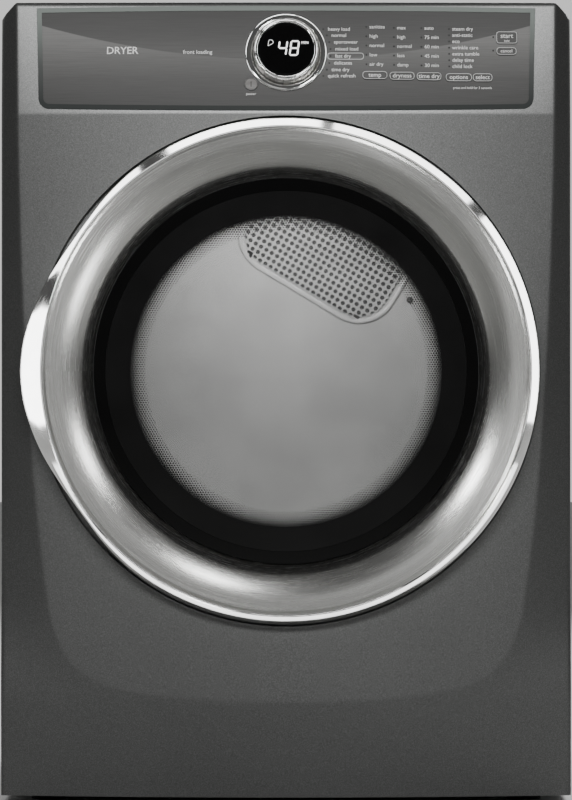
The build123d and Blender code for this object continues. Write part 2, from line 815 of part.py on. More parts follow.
def idler_spring():
    """The tension spring, as its outer tube, between the arm's stud and the fixed post."""
    tube = Rot(0, 90, 0) * (Cylinder(5.0, 86.0) - Cylinder(3.6, 90.0))
    return Pos((104.2 + 190.8) / 2, 5, 108) * tube


# ---------------------------------------------------------------- electrical

def terminal_block():
    body = block(inlet_x - 30, inlet_x + 30, rear_face - 38, rear_face - 10, inlet_z - 2, inlet_z + 24)
    for index in (-1, 0, 1):
        body += rod_y(4.0, rear_face - 10, rear_face - 6, inlet_x + index * 18, inlet_z + 11)
    return body


def terminal_cover():
    """The cover on the rear panel, with the cord inlet in a tab at its foot."""
    cover = block(inlet_x - 46, inlet_x + 46, rear_face, rear_face + 2, inlet_z - 51, inlet_z + 51)
    cover = fillet(cover.edges().filter_by(Axis.Y), 5.0)
    cover += rod_y(cord_hole_r + 4, rear_face, rear_face + 5, inlet_x, inlet_z - 28)
    return cover - rod_y(cord_hole_r, rear_face - 5, rear_face + 9, inlet_x, inlet_z - 28)


# ---------------------------------------------------------------- write the parts

def all_parts():
    parts = {
        "left_side_panel": side_panel(-1), "right_side_panel": side_panel(1), "top_panel": top_panel(),
        "front_panel": front_panel(), "rear_panel": rear_panel(), "base_pan": base_pan(),
        "cabinet_screws": cabinet_screws(), "console_bezel": console_bezel(),
        "console_overlay": console_overlay(), "dial_bezel": dial_bezel(), "selector_knob": selector_knob(),
        "display_window": display_window(), "interface_board": interface_board(),
        "indicator_lights": indicator_lights(), "door_ring": door_ring(), "door_glass": door_glass(),
        "door_liner": door_liner(), "door_bowl": door_bowl(), "door_seal": door_seal(),
        "door_striker": door_striker(), "hinge_leaf": hinge_leaf(), "hinge_bracket": hinge_bracket(),
        "door_latch": door_latch(), "drum_shell": drum_shell(), "drum_vanes": drum_vanes(),
        "front_bulkhead": front_bulkhead(), "rear_bulkhead": rear_bulkhead(), "drum_seals": drum_seals(),
        "moisture_sensor_bars": moisture_sensor_bars(), "heater_grille": heater_grille(),
        "heater_housing": heater_housing(), "heater_coil": heater_coil(), "roller_axles": roller_axles(),
        "left_drum_roller": drum_roller(-1), "right_drum_roller": drum_roller(1),
        "drive_belt": drive_belt(), "motor_housing": motor_housing(), "motor_shaft": motor_shaft(),
        "blower_wheel": blower_wheel(), "blower_housing": blower_housing(), "exhaust_duct": exhaust_duct(),
        "air_duct": air_duct(), "lint_filter": lint_filter(), "idler_arm": idler_arm(),
        "idler_wheel": idler_wheel(), "idler_spring": idler_spring(), "terminal_block": terminal_block(),
        "terminal_cover": terminal_cover()}
    for name in buttons:
        parts[name] = console_button(name)
    for name, (x, y) in foot_places.items():
        parts[name + "_foot"] = levelling_foot(x, y)
    return parts


def as_solids(part):
    """The part's solids in one compound, whether it is one shape or a group."""
    group = part if isinstance(part, list) else [part]
    solids = [solid for shape in group for solid in shape.solids()]
    return solids[0] if len(solids) == 1 else Compound(children=solids)


os.makedirs("parts", exist_ok=True)
for node, part in all_parts().items():
    export_step(as_solids(part), os.path.join("parts", node + ".step"))
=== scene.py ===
"""Looks of the front-loading dryer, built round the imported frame. Lengths are in metres unless a name says mm."""
import math

import bmesh
import bpy
import numpy as np
from mathutils import Matrix, Vector


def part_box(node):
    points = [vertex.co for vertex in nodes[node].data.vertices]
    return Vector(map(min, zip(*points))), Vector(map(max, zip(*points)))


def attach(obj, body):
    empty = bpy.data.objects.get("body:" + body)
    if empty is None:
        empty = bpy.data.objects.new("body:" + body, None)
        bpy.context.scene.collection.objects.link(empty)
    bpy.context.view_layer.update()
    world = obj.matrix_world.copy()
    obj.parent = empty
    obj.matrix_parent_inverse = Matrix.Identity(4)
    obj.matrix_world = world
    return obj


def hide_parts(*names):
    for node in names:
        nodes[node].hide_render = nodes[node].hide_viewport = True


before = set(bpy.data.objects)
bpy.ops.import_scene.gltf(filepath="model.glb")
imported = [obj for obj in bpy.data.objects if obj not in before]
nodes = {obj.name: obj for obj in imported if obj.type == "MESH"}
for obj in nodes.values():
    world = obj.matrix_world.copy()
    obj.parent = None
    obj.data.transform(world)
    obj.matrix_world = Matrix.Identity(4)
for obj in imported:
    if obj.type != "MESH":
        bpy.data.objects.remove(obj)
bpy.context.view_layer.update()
MM = 0.001


# ---------------------------------------------------------------- places, from the frame

door_low, door_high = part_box("door_glass")
DOOR_Z = (door_low.z + door_high.z) / 2
GLASS_R = (door_high.z - door_low.z) / 2
GLASS_FRONT = door_low.y
ring_low, ring_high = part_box("door_ring")
RING_R = ring_high.z - DOOR_Z
RING_FRONT = ring_low.y
RING_BACK = ring_high.y
LOBE_R = -ring_low.x
panel_low, panel_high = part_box("front_panel")
HALF_WIDTH = panel_high.x
PANEL_BACK = panel_high.y
FRONT_MID = panel_low.y
PANEL_LOW = panel_low.z
TOP = panel_high.z
LEAN_START = 0.830
LEAN_DEPTH = 0.035
BOW_LOW = 0.0267
BOW_TOP = 0.008
BEVEL = 0.018
BEVEL_X = HALF_WIDTH - BEVEL
LOW_SLOPE = 0.055
RECESS_R = 0.3055
RECESS_FLOOR = -0.350
OPENING_R = 0.232
SHEET = 0.0012
CONSOLE_Z = 0.896
DIAL_Z = 0.903


def lean_share(z):
    """0 below the console, 1 at the top of the cabinet."""
    return np.maximum(0.0, (z - LEAN_START) / (TOP - LEAN_START))


def front_y(x, z):
    """The bowed and leaning front surface, without its side bevels."""
    share = lean_share(z)
    bow = BOW_LOW + (BOW_TOP - BOW_LOW) * share
    return FRONT_MID + LEAN_DEPTH * share + bow * (x / BEVEL_X) ** 2


def console_matrix(x, z, lift=0.0):
    """A frame on the console surface: X to the right, Y up the surface, Z outwards."""
    step = 0.5 * MM
    slope_x = (front_y(x + step, z) - front_y(x - step, z)) / (2 * step)
    slope_z = (front_y(x, z + step) - front_y(x, z - step)) / (2 * step)
    normal = Vector((slope_x, -1, slope_z)).normalized()
    across = Vector((1, slope_x, 0)).normalized()
    up = normal.cross(across)
    origin = Vector((x, front_y(x, z), z)) + normal * lift
    return Matrix((
        (across.x, up.x, normal.x, origin.x), (across.y, up.y, normal.y, origin.y),
        (across.z, up.z, normal.z, origin.z), (0, 0, 0, 1)))


# ---------------------------------------------------------------- materials

def new_material(name, colour, metallic=0.0, roughness=0.5, coat=0.0, coat_roughness=0.1):
    """A Principled material, returned with its shader node."""
    mat = bpy.data.materials.new(name)
    mat.use_nodes = True
    shader = mat.node_tree.nodes["Principled BSDF"]
    shader.inputs["Base Color"].default_value = (*colour, 1)
    shader.inputs["Metallic"].default_value = metallic
    shader.inputs["Roughness"].default_value = roughness
    shader.inputs["Coat Weight"].default_value = coat
    shader.inputs["Coat Roughness"].default_value = coat_roughness
    return mat, shader


def node(mat, kind, **values):
    """Adds a shader node, with input values by socket name."""
    made = mat.node_tree.nodes.new(kind)
    for key, value in values.items():
        made.inputs[key.replace("_", " ")].default_value = value
    return made


def wire(mat, source, target):
    mat.node_tree.links.new(source, target)


def operator(mat, kind, operation):
    """Adds a maths node that does one operation."""
    made = node(mat, kind)
    made.operation = operation
    return made


def split_coords(mat):
    """Object coordinates, one output for each axis."""
    coords = node(mat, "ShaderNodeTexCoord")
    split = node(mat, "ShaderNodeSeparateXYZ")
    wire(mat, coords.outputs["Object"], split.inputs[0])
    return split


def object_coords(mat, scale=(1, 1, 1)):
    """Object coordinates, stretched by a scale on each axis."""
    coords = node(mat, "ShaderNodeTexCoord")
    mapping = node(mat, "ShaderNodeMapping", Scale=scale)
    wire(mat, coords.outputs["Object"], mapping.inputs["Vector"])
    return mapping.outputs["Vector"]


def polar_coords(mat, centre_z, across, around):
    """Radius, angle and depth about the door's axis, for marks that run round it."""
    split = split_coords(mat)
    height = operator(mat, "ShaderNodeMath", "SUBTRACT")
    height.inputs[1].default_value = centre_z
    wire(mat, split.outputs["Z"], height.inputs[0])
    angle = operator(mat, "ShaderNodeMath", "ARCTAN2")
    wire(mat, height.outputs[0], angle.inputs[0])
    wire(mat, split.outputs["X"], angle.inputs[1])
    flat = node(mat, "ShaderNodeCombineXYZ")
    wire(mat, split.outputs["X"], flat.inputs["X"])
    wire(mat, height.outputs[0], flat.inputs["Y"])
    radius = operator(mat, "ShaderNodeVectorMath", "LENGTH")
    wire(mat, flat.outputs[0], radius.inputs[0])
    joined = node(mat, "ShaderNodeCombineXYZ")
    wire(mat, radius.outputs["Value"], joined.inputs["X"])
    wire(mat, angle.outputs[0], joined.inputs["Y"])
    wire(mat, split.outputs["Y"], joined.inputs["Z"])
    mapping = node(mat, "ShaderNodeMapping", Scale=(across, around, across))
    wire(mat, joined.outputs[0], mapping.inputs["Vector"])
    return mapping.outputs["Vector"]


def noise(mat, vector, scale=1.0, detail=3.0, roughness=0.5):
    texture = node(mat, "ShaderNodeTexNoise", Scale=scale, Detail=detail, Roughness=roughness)
    wire(mat, vector, texture.inputs["Vector"])
    return texture.outputs["Fac"]


def tint(mat, shader, factor, dark, light, low=0.35, high=0.65):
    """Drives the base colour between two colours."""
    ramp = node(mat, "ShaderNodeValToRGB")
    ramp.color_ramp.elements[0].position = low
    ramp.color_ramp.elements[0].color = (*dark, 1)
    ramp.color_ramp.elements[1].position = high
    ramp.color_ramp.elements[1].color = (*light, 1)
    wire(mat, factor, ramp.inputs["Fac"])
    wire(mat, ramp.outputs["Color"], shader.inputs["Base Color"])
    return ramp


def rough_between(mat, shader, factor, low, high):
    spread = node(mat, "ShaderNodeMapRange", From_Min=0.3, From_Max=0.7, To_Min=low, To_Max=high)
    wire(mat, factor, spread.inputs["Value"])
    wire(mat, spread.outputs["Result"], shader.inputs["Roughness"])


def bump(mat, shader, factor, strength, distance):
    raised = node(mat, "ShaderNodeBump", Strength=strength, Distance=distance)
    wire(mat, factor, raised.inputs["Height"])
    wire(mat, raised.outputs["Normal"], shader.inputs["Normal"])


def shade(colour, factor):
    return tuple(min(1.0, c * factor) for c in colour)


def flecked_paint(name, colour):
    """Dark metallic enamel: fine flakes under a clear coat, with slow clouding."""
    mat, shader = new_material(name, colour, metallic=0.85, roughness=0.42, coat=0.05, coat_roughness=0.25)
    flakes = noise(mat, object_coords(mat), scale=900.0, detail=2.0, roughness=0.7)
    ramp = tint(mat, shader, flakes, shade(colour, 0.80), shade(colour, 1.22), 0.38, 0.66)
    ramp.color_ramp.interpolation = "EASE"
    clouds = noise(mat, object_coords(mat), scale=3.0, detail=2.0)
    rough_between(mat, shader, clouds, 0.40, 0.45)
    bump(mat, shader, noise(mat, object_coords(mat), scale=700.0, detail=1.0), 0.10, 0.0002)
    return mat


def sheet_metal(name, colour, spangle=60.0, roughness=0.38):
    """Zinc-coated sheet, with the patches of its coating."""
    mat, shader = new_material(name, colour, metallic=0.9, roughness=roughness)
    cells = node(mat, "ShaderNodeTexVoronoi", Scale=spangle)
    wire(mat, object_coords(mat), cells.inputs["Vector"])
    patch = node(mat, "ShaderNodeSeparateColor")
    wire(mat, cells.outputs["Color"], patch.inputs[0])
    tint(mat, shader, patch.outputs[0], shade(colour, 0.82), shade(colour, 1.12), 0.1, 0.9)
    rough_between(mat, shader, patch.outputs[1], roughness - 0.06, roughness + 0.08)
    bump(mat, shader, noise(mat, object_coords(mat), scale=160.0), 0.12, 0.0004)
    return mat


def brushed_metal(name, colour, stretch=(900, 900, 30), roughness=0.28):
    """Metal with fine parallel brush marks along the axis with the small number."""
    mat, shader = new_material(name, colour, metallic=1.0, roughness=roughness)
    marks = noise(mat, object_coords(mat, stretch), detail=3.0, roughness=0.6)
    tint(mat, shader, marks, shade(colour, 0.82), shade(colour, 1.12))
    rough_between(mat, shader, marks, roughness - 0.06, roughness + 0.10)
    bump(mat, shader, marks, 0.12, 0.0003)
    return mat


def plastic(name, colour, roughness=0.45, grain=500.0, depth=0.25, coat=0.0):
    """Moulded plastic with a fine grain and a little unevenness."""
    mat, shader = new_material(name, colour, roughness=roughness, coat=coat)
    fine = noise(mat, object_coords(mat), scale=grain, detail=2.0)
    tint(mat, shader, noise(mat, object_coords(mat), scale=12.0), shade(colour, 0.9), shade(colour, 1.1))
    rough_between(mat, shader, fine, max(0.02, roughness - 0.08), roughness + 0.08)
    bump(mat, shader, fine, depth, 0.0002)
    return mat


def felt_material(name, colour):
    mat, shader = new_material(name, colour, roughness=0.95)
    shader.inputs["Sheen Weight"].default_value = 0.4
    fibres = noise(mat, object_coords(mat), scale=1200.0, detail=4.0, roughness=0.7)
    tint(mat, shader, fibres, shade(colour, 0.6), shade(colour, 1.3))
    bump(mat, shader, fibres, 0.7, 0.0006)
    return mat


def spun_metal(name, colour, roughness):
    """The door ring's lacquered metal: spin marks run round the door, so highlights spread across them."""
    mat, shader = new_material(name, colour, metallic=1.0, roughness=roughness)
    shader.inputs["Anisotropic"].default_value = 0.72
    marks = noise(mat, polar_coords(mat, DOOR_Z, 900.0, 5.0), detail=3.0, roughness=0.65)
    tint(mat, shader, marks, shade(colour, 0.93), shade(colour, 1.06))
    rough_between(mat, shader, marks, roughness - 0.02, roughness + 0.05)
    bump(mat, shader, marks, 0.06, 0.0002)
    coords = node(mat, "ShaderNodeTexCoord")
    from_centre = operator(mat, "ShaderNodeVectorMath", "SUBTRACT")
    from_centre.inputs[1].default_value = (0, 0, DOOR_Z)
    wire(mat, coords.outputs["Object"], from_centre.inputs[0])
    unit = operator(mat, "ShaderNodeVectorMath", "NORMALIZE")
    wire(mat, from_centre.outputs[0], unit.inputs[0])
    wire(mat, unit.outputs[0], shader.inputs["Tangent"])
    return mat


def polished(name, colour, roughness=0.07):
    mat, shader = new_material(name, colour, metallic=1.0, roughness=roughness)
    haze = noise(mat, object_coords(mat), scale=40.0, detail=4.0)
    rough_between(mat, shader, haze, roughness, roughness + 0.05)
    tint(mat, shader, haze, shade(colour, 0.94), shade(colour, 1.04))
    return mat


def clear_glass(name, colour, alpha):
    """Glass seen through: mostly open, with a sharp reflection."""
    mat, shader = new_material(name, colour, roughness=0.03)
    shader.inputs["Alpha"].default_value = alpha
    shader.inputs["Specular IOR Level"].default_value = 0.5
    smears = noise(mat, object_coords(mat, (1, 1, 2)), scale=9.0, detail=4.0)
    rough_between(mat, shader, smears, 0.02, 0.07)
    tint(mat, shader, smears, shade(colour, 0.8), shade(colour, 1.2))
    return mat


def dark_glass(name, colour, roughness):
    """Glass printed black behind, with the faintest smears."""
    mat, shader = new_material(name, colour, roughness=roughness)
    smears = noise(mat, object_coords(mat), scale=14.0, detail=3.0)
    tint(mat, shader, smears, shade(colour, 0.8), shade(colour, 1.2))
    rough_between(mat, shader, smears, roughness, roughness + 0.015)
    return mat


def lit(name, colour, strength):
    """A glowing segment, with a faint unevenness over its face."""
    mat, shader = new_material(name, colour, roughness=0.4)
    shader.inputs["Emission Color"].default_value = (*colour, 1)
    shader.inputs["Emission Strength"].default_value = strength
    tint(mat, shader, noise(mat, object_coords(mat), scale=400.0), shade(colour, 0.9), shade(colour, 1.0))
    return mat


def console_film():
    """Dark printed film: two printed tones that meet on a long curve, under a fine crosswise brush pattern. Each tone
    also carries painted light by height: a painted sheen brightens the lower tone up to the curve, and painted shade
    darkens the upper tone towards the top.
    """
    mat, shader = new_material("console_film", (0.08, 0.08, 0.078), roughness=0.5)
    shader.inputs["Specular IOR Level"].default_value = 0.25
    split = split_coords(mat)
    height = node(mat, "ShaderNodeMapRange", From_Min=0.84, From_Max=0.95)
    wire(mat, split.outputs["Z"], height.inputs["Value"])
    # Painted shade: the upper tone darkens towards the top of the console.
    upper = tone_ramp(mat, height.outputs["Result"], [(0.55, 0.088), (0.78, 0.062), (0.98, 0.049)])
    # Painted sheen: the lower tone brightens from the console's foot up to the curve.
    lower_stops_with_painted_sheen = [(0.0, 0.052), (0.07, 0.055), (0.29, 0.074), (0.51, 0.114), (0.77, 0.170)]
    lower = tone_ramp(mat, height.outputs["Result"], lower_stops_with_painted_sheen)
    across = operator(mat, "ShaderNodeMath", "MULTIPLY")
    wire(mat, split.outputs["X"], across.inputs[0])
    wire(mat, split.outputs["X"], across.inputs[1])
    curve = operator(mat, "ShaderNodeMath", "MULTIPLY_ADD")
    curve.inputs[1].default_value = -0.489
    wire(mat, across.outputs[0], curve.inputs[0])
    wire(mat, split.outputs["Z"], curve.inputs[2])
    mask = node(mat, "ShaderNodeMapRange", From_Min=0.8939, From_Max=0.8949)
    wire(mat, curve.outputs[0], mask.inputs["Value"])
    tones = node(mat, "ShaderNodeMix")
    tones.data_type = "RGBA"
    wire(mat, mask.outputs["Result"], tones.inputs[0])
    wire(mat, lower, tones.inputs[6])
    wire(mat, upper, tones.inputs[7])
    marks = noise(mat, object_coords(mat, (25, 25, 1400)), detail=3.0, roughness=0.6)
    brushed = node(mat, "ShaderNodeMapRange", From_Min=0.3, From_Max=0.7, To_Min=0.88, To_Max=1.12)
    wire(mat, marks, brushed.inputs["Value"])
    blend = operator(mat, "ShaderNodeVectorMath", "SCALE")
    wire(mat, tones.outputs[2], blend.inputs[0])
    wire(mat, brushed.outputs["Result"], blend.inputs["Scale"])
    wire(mat, blend.outputs[0], shader.inputs["Base Color"])
    bump(mat, shader, marks, 0.05, 0.0002)
    return mat


def tone_ramp(mat, factor, stops):
    """A grey ramp from (position, value) stops."""
    ramp = node(mat, "ShaderNodeValToRGB")
    marks = ramp.color_ramp.elements
    while len(marks) < len(stops):
        marks.new(0.5)
    for mark, (position, value) in zip(marks, stops):
        mark.position = position
        mark.color = (value * 1.01, value, value * 0.975, 1)
    wire(mat, factor, ramp.inputs["Fac"])
    return ramp.outputs["Color"]


def rim_material_with_painted_shade():
    """The console rim: satin grey with painted shade, pale where its top faces the light and darkening towards its
    lower edge.
    """
    mat, shader = new_material("console_rim", (0.25, 0.28, 0.26), roughness=0.6)
    shader.inputs["Specular IOR Level"].default_value = 0.2
    split = split_coords(mat)
    low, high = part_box("console_bezel")
    spread = node(mat, "ShaderNodeMapRange", From_Min=low.z, From_Max=high.z)
    wire(mat, split.outputs["Z"], spread.inputs["Value"])
    # Painted shade: the colour runs from near black at the rim's lower edge to pale grey at its top, standing in for
    # light from above.
    ramp = tint(mat, shader, spread.outputs["Result"], (0.028, 0.032, 0.031), (0.20, 0.225, 0.21), 0.10, 0.90)
    middle = ramp.color_ramp.elements.new(0.45)
    middle.color = (0.075, 0.08, 0.077, 1)
    bump(mat, shader, noise(mat, object_coords(mat), scale=600.0), 0.08, 0.0002)
    return mat


PAINT = flecked_paint("cabinet_paint", (0.150, 0.152, 0.150))
ZINC = sheet_metal("zinc_sheet", (0.60, 0.61, 0.62))
DUCT_STEEL = sheet_metal("duct_steel", (0.66, 0.67, 0.68), spangle=90.0, roughness=0.30)
INNER_PAINT = plastic("inner_enamel", (0.50, 0.50, 0.49), roughness=0.42, grain=350.0, coat=0.2)
DRUM_STEEL = brushed_metal("drum_steel", (0.62, 0.62, 0.61), stretch=(40, 900, 40), roughness=0.34)
HINGE_STEEL = brushed_metal("hinge_steel", (0.55, 0.55, 0.56))
SHAFT_STEEL = brushed_metal("shaft_steel", (0.60, 0.60, 0.60), stretch=(900, 40, 900))
SCREW_STEEL = polished("screw_steel", (0.55, 0.55, 0.54), roughness=0.24)
CHROME = polished("bright_chrome", (0.83, 0.83, 0.82))
RING_METAL = spun_metal("spun_ring_metal", (0.64, 0.64, 0.62), 0.24)
RIM_METAL = polished("rim_chrome", (0.88, 0.88, 0.87), roughness=0.06)
KNOB_METAL = brushed_metal("knob_metal", (0.50, 0.49, 0.47), stretch=(700, 60, 60), roughness=0.30)
BUTTON_METAL = brushed_metal("button_metal", (0.40, 0.39, 0.38), stretch=(60, 60, 1200), roughness=0.34)
BUTTON_GREY = plastic("button_grey", (0.060, 0.060, 0.058), roughness=0.6, grain=900.0, depth=0.1)
DISPLAY_BLACK = dark_glass("display_black", (0.008, 0.008, 0.009), 0.08)
LIGHT_PIPE = plastic("light_pipe", (0.012, 0.012, 0.012), roughness=0.75, grain=200.0, depth=0.05)
BOARD = plastic("circuit_board", (0.03, 0.12, 0.05), roughness=0.35, grain=150.0)
BLACK_GLASS = dark_glass("printed_glass", (0.006, 0.006, 0.006), 0.10)
GLOSS_BAND = dark_glass("glass_edge_band", (0.0015, 0.0015, 0.0015), 0.05)
WINDOW_GLASS = clear_glass("window_glass", (0.08, 0.08, 0.08), 0.20)
BOWL_GLASS = clear_glass("bowl_glass", (0.60, 0.61, 0.61), 0.13)
LINER = plastic("liner_plastic", (0.10, 0.10, 0.10), roughness=0.5)
RUBBER = plastic("seal_rubber", (0.020, 0.020, 0.020), roughness=0.75, grain=250.0, depth=0.4)
BLACK_PLASTIC = plastic("black_plastic", (0.03, 0.03, 0.03), roughness=0.5, depth=0.35)
DUCT_PLASTIC = plastic("duct_plastic", (0.16, 0.16, 0.16), roughness=0.55, depth=0.35)
VANE_PLASTIC = plastic("vane_plastic", (0.45, 0.45, 0.44), roughness=0.4)
FILTER_PLASTIC = plastic("filter_plastic", (0.12, 0.13, 0.15), roughness=0.5)
FELT = felt_material("drum_felt", (0.32, 0.29, 0.26))
ELEMENT = brushed_metal("element_wire", (0.26, 0.22, 0.19), stretch=(200, 200, 200), roughness=0.5)
MOTOR_CASE = plastic("motor_case", (0.20, 0.20, 0.21), roughness=0.5, grain=300.0, depth=0.5)
REAR_WALL = plastic("rear_wall_enamel", (0.56, 0.56, 0.55), roughness=0.34, grain=300.0, depth=0.08, coat=0.3)
# Near black: painted shade on the sheet behind the grille's holes, and the colour of the sensor tip.
SHADE_SCREEN_AND_TIP_DARK = plastic("painted_shade_screen_and_sensor_tip", (0.030, 0.029, 0.028), roughness=0.5, grain=300.0)
LEGEND = plastic("printed_legend", (0.95, 0.95, 0.93), roughness=0.5)
MARK_BLACK = plastic("printed_mark", (0.02, 0.02, 0.02), roughness=0.5)
DIGITS = lit("display_digits", (1.0, 1.0, 1.0), 1.3)
FILM = console_film()
RIM = rim_material_with_painted_shade()

NODE_MATERIALS = {
    PAINT: ["left_side_panel", "right_side_panel", "top_panel", "front_panel"],
    ZINC: ["rear_panel", "base_pan", "terminal_cover", "heater_housing"],
    DUCT_STEEL: ["exhaust_duct"],
    SCREW_STEEL: ["cabinet_screws"], RIM: ["console_bezel"], FILM: ["console_overlay"],
    CHROME: ["dial_bezel"], KNOB_METAL: ["selector_knob"], DISPLAY_BLACK: ["display_window"],
    BOARD: ["interface_board"], LIGHT_PIPE: ["indicator_lights"], BUTTON_METAL: ["power_button"],
    BUTTON_GREY: ["start_button", "cancel_button", "temp_button", "dryness_button", "time_button",
                  "options_button", "select_button"],
    RING_METAL: ["door_ring"], WINDOW_GLASS: ["door_glass"], LINER: ["door_liner"], BOWL_GLASS: ["door_bowl"],
    RUBBER: ["door_seal", "drive_belt", "left_drum_roller", "right_drum_roller", "front_left_foot",
             "front_right_foot", "rear_left_foot", "rear_right_foot"],
    HINGE_STEEL: ["door_striker", "hinge_leaf", "hinge_bracket", "idler_arm", "idler_spring"],
    BLACK_PLASTIC: ["door_latch", "terminal_block"], DRUM_STEEL: ["drum_shell"], VANE_PLASTIC: ["drum_vanes"],
    INNER_PAINT: ["front_bulkhead"], REAR_WALL: ["rear_bulkhead", "heater_grille"], FELT: ["drum_seals"],
    SHAFT_STEEL: ["moisture_sensor_bars", "roller_axles", "motor_shaft"], ELEMENT: ["heater_coil"],
    MOTOR_CASE: ["motor_housing"], DUCT_PLASTIC: ["blower_wheel", "blower_housing", "air_duct", "idler_wheel"],
    FILTER_PLASTIC: ["lint_filter"]}
for finish, names in NODE_MATERIALS.items():
    for name in names:
        nodes[name].data.materials.clear()
        nodes[name].data.materials.append(finish)


# ---------------------------------------------------------------- mesh helpers

def new_piece(name, verts, faces, *finishes):
    """An object with a new mesh and its materials, in the scene."""
    mesh = bpy.data.meshes.new(name)
    mesh.from_pydata(verts, [], faces)
    for finish in finishes:
        mesh.materials.append(finish)
    piece = bpy.data.objects.new(name, mesh)
    bpy.context.scene.collection.objects.link(piece)
    return piece


def face_outwards(mesh, merge=0.0):
    """Turns every face outwards, after merging points closer than a distance."""
    made = bmesh.new()
    made.from_mesh(mesh)
    if merge:
        bmesh.ops.remove_doubles(made, verts=made.verts, dist=merge)
    bmesh.ops.recalc_face_normals(made, faces=made.faces)
    made.to_mesh(mesh)
    made.free()


def add_mesh(name, verts, faces, finish, body, sharp=35.0):
    """A mesh piece that rides on a body, smooth except at edges sharper than an angle in degrees."""
    finishes = finish if isinstance(finish, list) else [finish]
    piece = new_piece(name, [tuple(v) for v in verts], faces, *finishes)
    face_outwards(piece.data, merge=1e-7)
    smooth(piece, sharp)
    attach(piece, body)
    return piece


def smooth(piece, sharp=35.0):
    piece.data.shade_smooth()
    piece.data.set_sharp_from_angle(angle=math.radians(sharp))


def bake_modifiers(piece):
    """Replaces a piece's mesh with the result of its modifiers."""
    shown = piece.evaluated_get(bpy.context.evaluated_depsgraph_get())
    mesh = bpy.data.meshes.new_from_object(shown)
    piece.modifiers.clear()
    piece.data = mesh


def loop_faces(steps, count):
    """The faces that join a closed round of steps, each a closed outline of count points."""
    faces = []
    for step in range(steps):
        here = step * count
        there = ((step + 1) % steps) * count
        for row in range(count):
            up = (row + 1) % count
            faces.append((here + row, there + row, there + up, here + up))
    return faces


def prism_faces(count):
    """The faces of a prism whose low outline comes first, then its high one."""
    faces = [tuple(range(count - 1, -1, -1)), tuple(range(count, 2 * count))]
    return faces + [(i, (i + 1) % count, count + (i + 1) % count, count + i) for i in range(count)]


def lathe(profile, steps, matrix):
    """Vertices and faces of a closed profile of (radius, height) turned about Z, then placed by a matrix."""
    verts = []
    for step in range(steps):
        angle = 2 * math.pi * step / steps
        verts += [matrix @ Vector((r * math.cos(angle), r * math.sin(angle), h)) for r, h in profile]
    return verts, loop_faces(steps, len(profile))


def facing_front(x=0.0, y=0.0, z=0.0):
    """Turns a lathe's Z towards the front, about a place."""
    return Matrix.Translation((x, y, z)) @ Matrix.Rotation(math.radians(90), 4, "X")


def mid(node_name):
    low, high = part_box(node_name)
    return (low.x + high.x) / 2, (low.z + high.z) / 2


def rounded(points, radius, parts=5):
    """A closed outline of points with its corners rounded."""
    result = []
    count = len(points)
    for index in range(count):
        here = Vector(points[index])
        before = Vector(points[index - 1]) - here
        after = Vector(points[(index + 1) % count]) - here
        cut = min(radius, before.length * 0.49, after.length * 0.49)
        start = here + before.normalized() * cut
        end = here + after.normalized() * cut
        for part in range(parts + 1):
            t = part / parts
            result.append(tuple(start.lerp(here, t).lerp(here.lerp(end, t), t)))
    return result


def curve_through(points, per_span=10):
    """A smooth open line through points (Catmull-Rom)."""
    pts = [Vector(p) for p in points]
    pts = [2 * pts[0] - pts[1]] + pts + [2 * pts[-1] - pts[-2]]
    line = []
    for a, b, c, d in zip(pts, pts[1:], pts[2:], pts[3:]):
        for part in range(per_span):
            t = part / per_span
            line.append(0.5 * (2 * b + (c - a) * t + (2 * a - 5 * b + 4 * c - d) * t ** 2
                               + (3 * b - a - 3 * c + d) * t ** 3))
    line.append(pts[-2])
    return line


# ---------------------------------------------------------------- front panel

def shield_edge():
    """The crease of the raised middle of the front, on the right, from the top to the middle of the foot."""
    points_mm = [
        (325, 975), (322, 760), (315, 560), (303, 380), (289, 262), (277, 205), (250, 162), (205, 141),
        (130, 130), (60, 126), (0, 125)]
    line = curve_through([(x * MM, z * MM) for x, z in points_mm], 8)
    return np.array([(p.x, p.y) for p in line])


def distance_outside(x, z, line):
    """Distance of each point from the crease, negative inside the shield."""
    x = np.abs(x)
    best = np.full(x.shape, 10.0)
    side = np.full(x.shape, -1.0)
    for (ax, az), (bx, bz) in zip(line[:-1], line[1:]):
        ex, ez = bx - ax, bz - az
        share = np.clip(((x - ax) * ex + (z - az) * ez) / (ex * ex + ez * ez), 0, 1)
        dx = x - ax - share * ex
        dz = z - az - share * ez
        reach = np.hypot(dx, dz)
        nearer = reach < best
        best = np.where(nearer, reach, best)
        side = np.where(nearer, np.sign(ez * dx - ex * dz) * -1, side)
    return best * side


def smoothstep(value, low, high):
    t = np.clip((value - low) / (high - low), 0, 1)
    return t * t * (3 - 2 * t)


def panel_surface(x, z):
    """The whole front: bowed, leaning, and set back outside the crease."""
    line = shield_edge()
    away = distance_outside(x, z, line)
    edge_x = np.interp(z, line[::-1, 1], line[::-1, 0])
    side_slope = BEVEL / np.maximum(HALF_WIDTH - edge_x, BEVEL)
    slope = LOW_SLOPE + (side_slope - LOW_SLOPE) * smoothstep(z, 0.10, 0.30)
    crease = 0.0008 + 0.0008 * (1 - smoothstep(z, 0.15, 0.8))
    setback = slope * (away + np.sqrt(away ** 2 + crease ** 2)) / 2
    top_roll = np.clip((z - (TOP - 0.006)) / 0.006, 0, 1)
    return front_y(x, z) + setback + 0.004 * (1 - np.sqrt(1 - 0.98 * top_roll ** 2))


def cut_with(piece, tool):
    """Takes the tool's shape out of the piece, and removes the tool."""
    step = piece.modifiers.new("cut", "BOOLEAN")
    step.operation = "DIFFERENCE"
    step.object = tool
    step.solver = "EXACT"
    bake_modifiers(piece)
    bpy.data.objects.remove(tool)


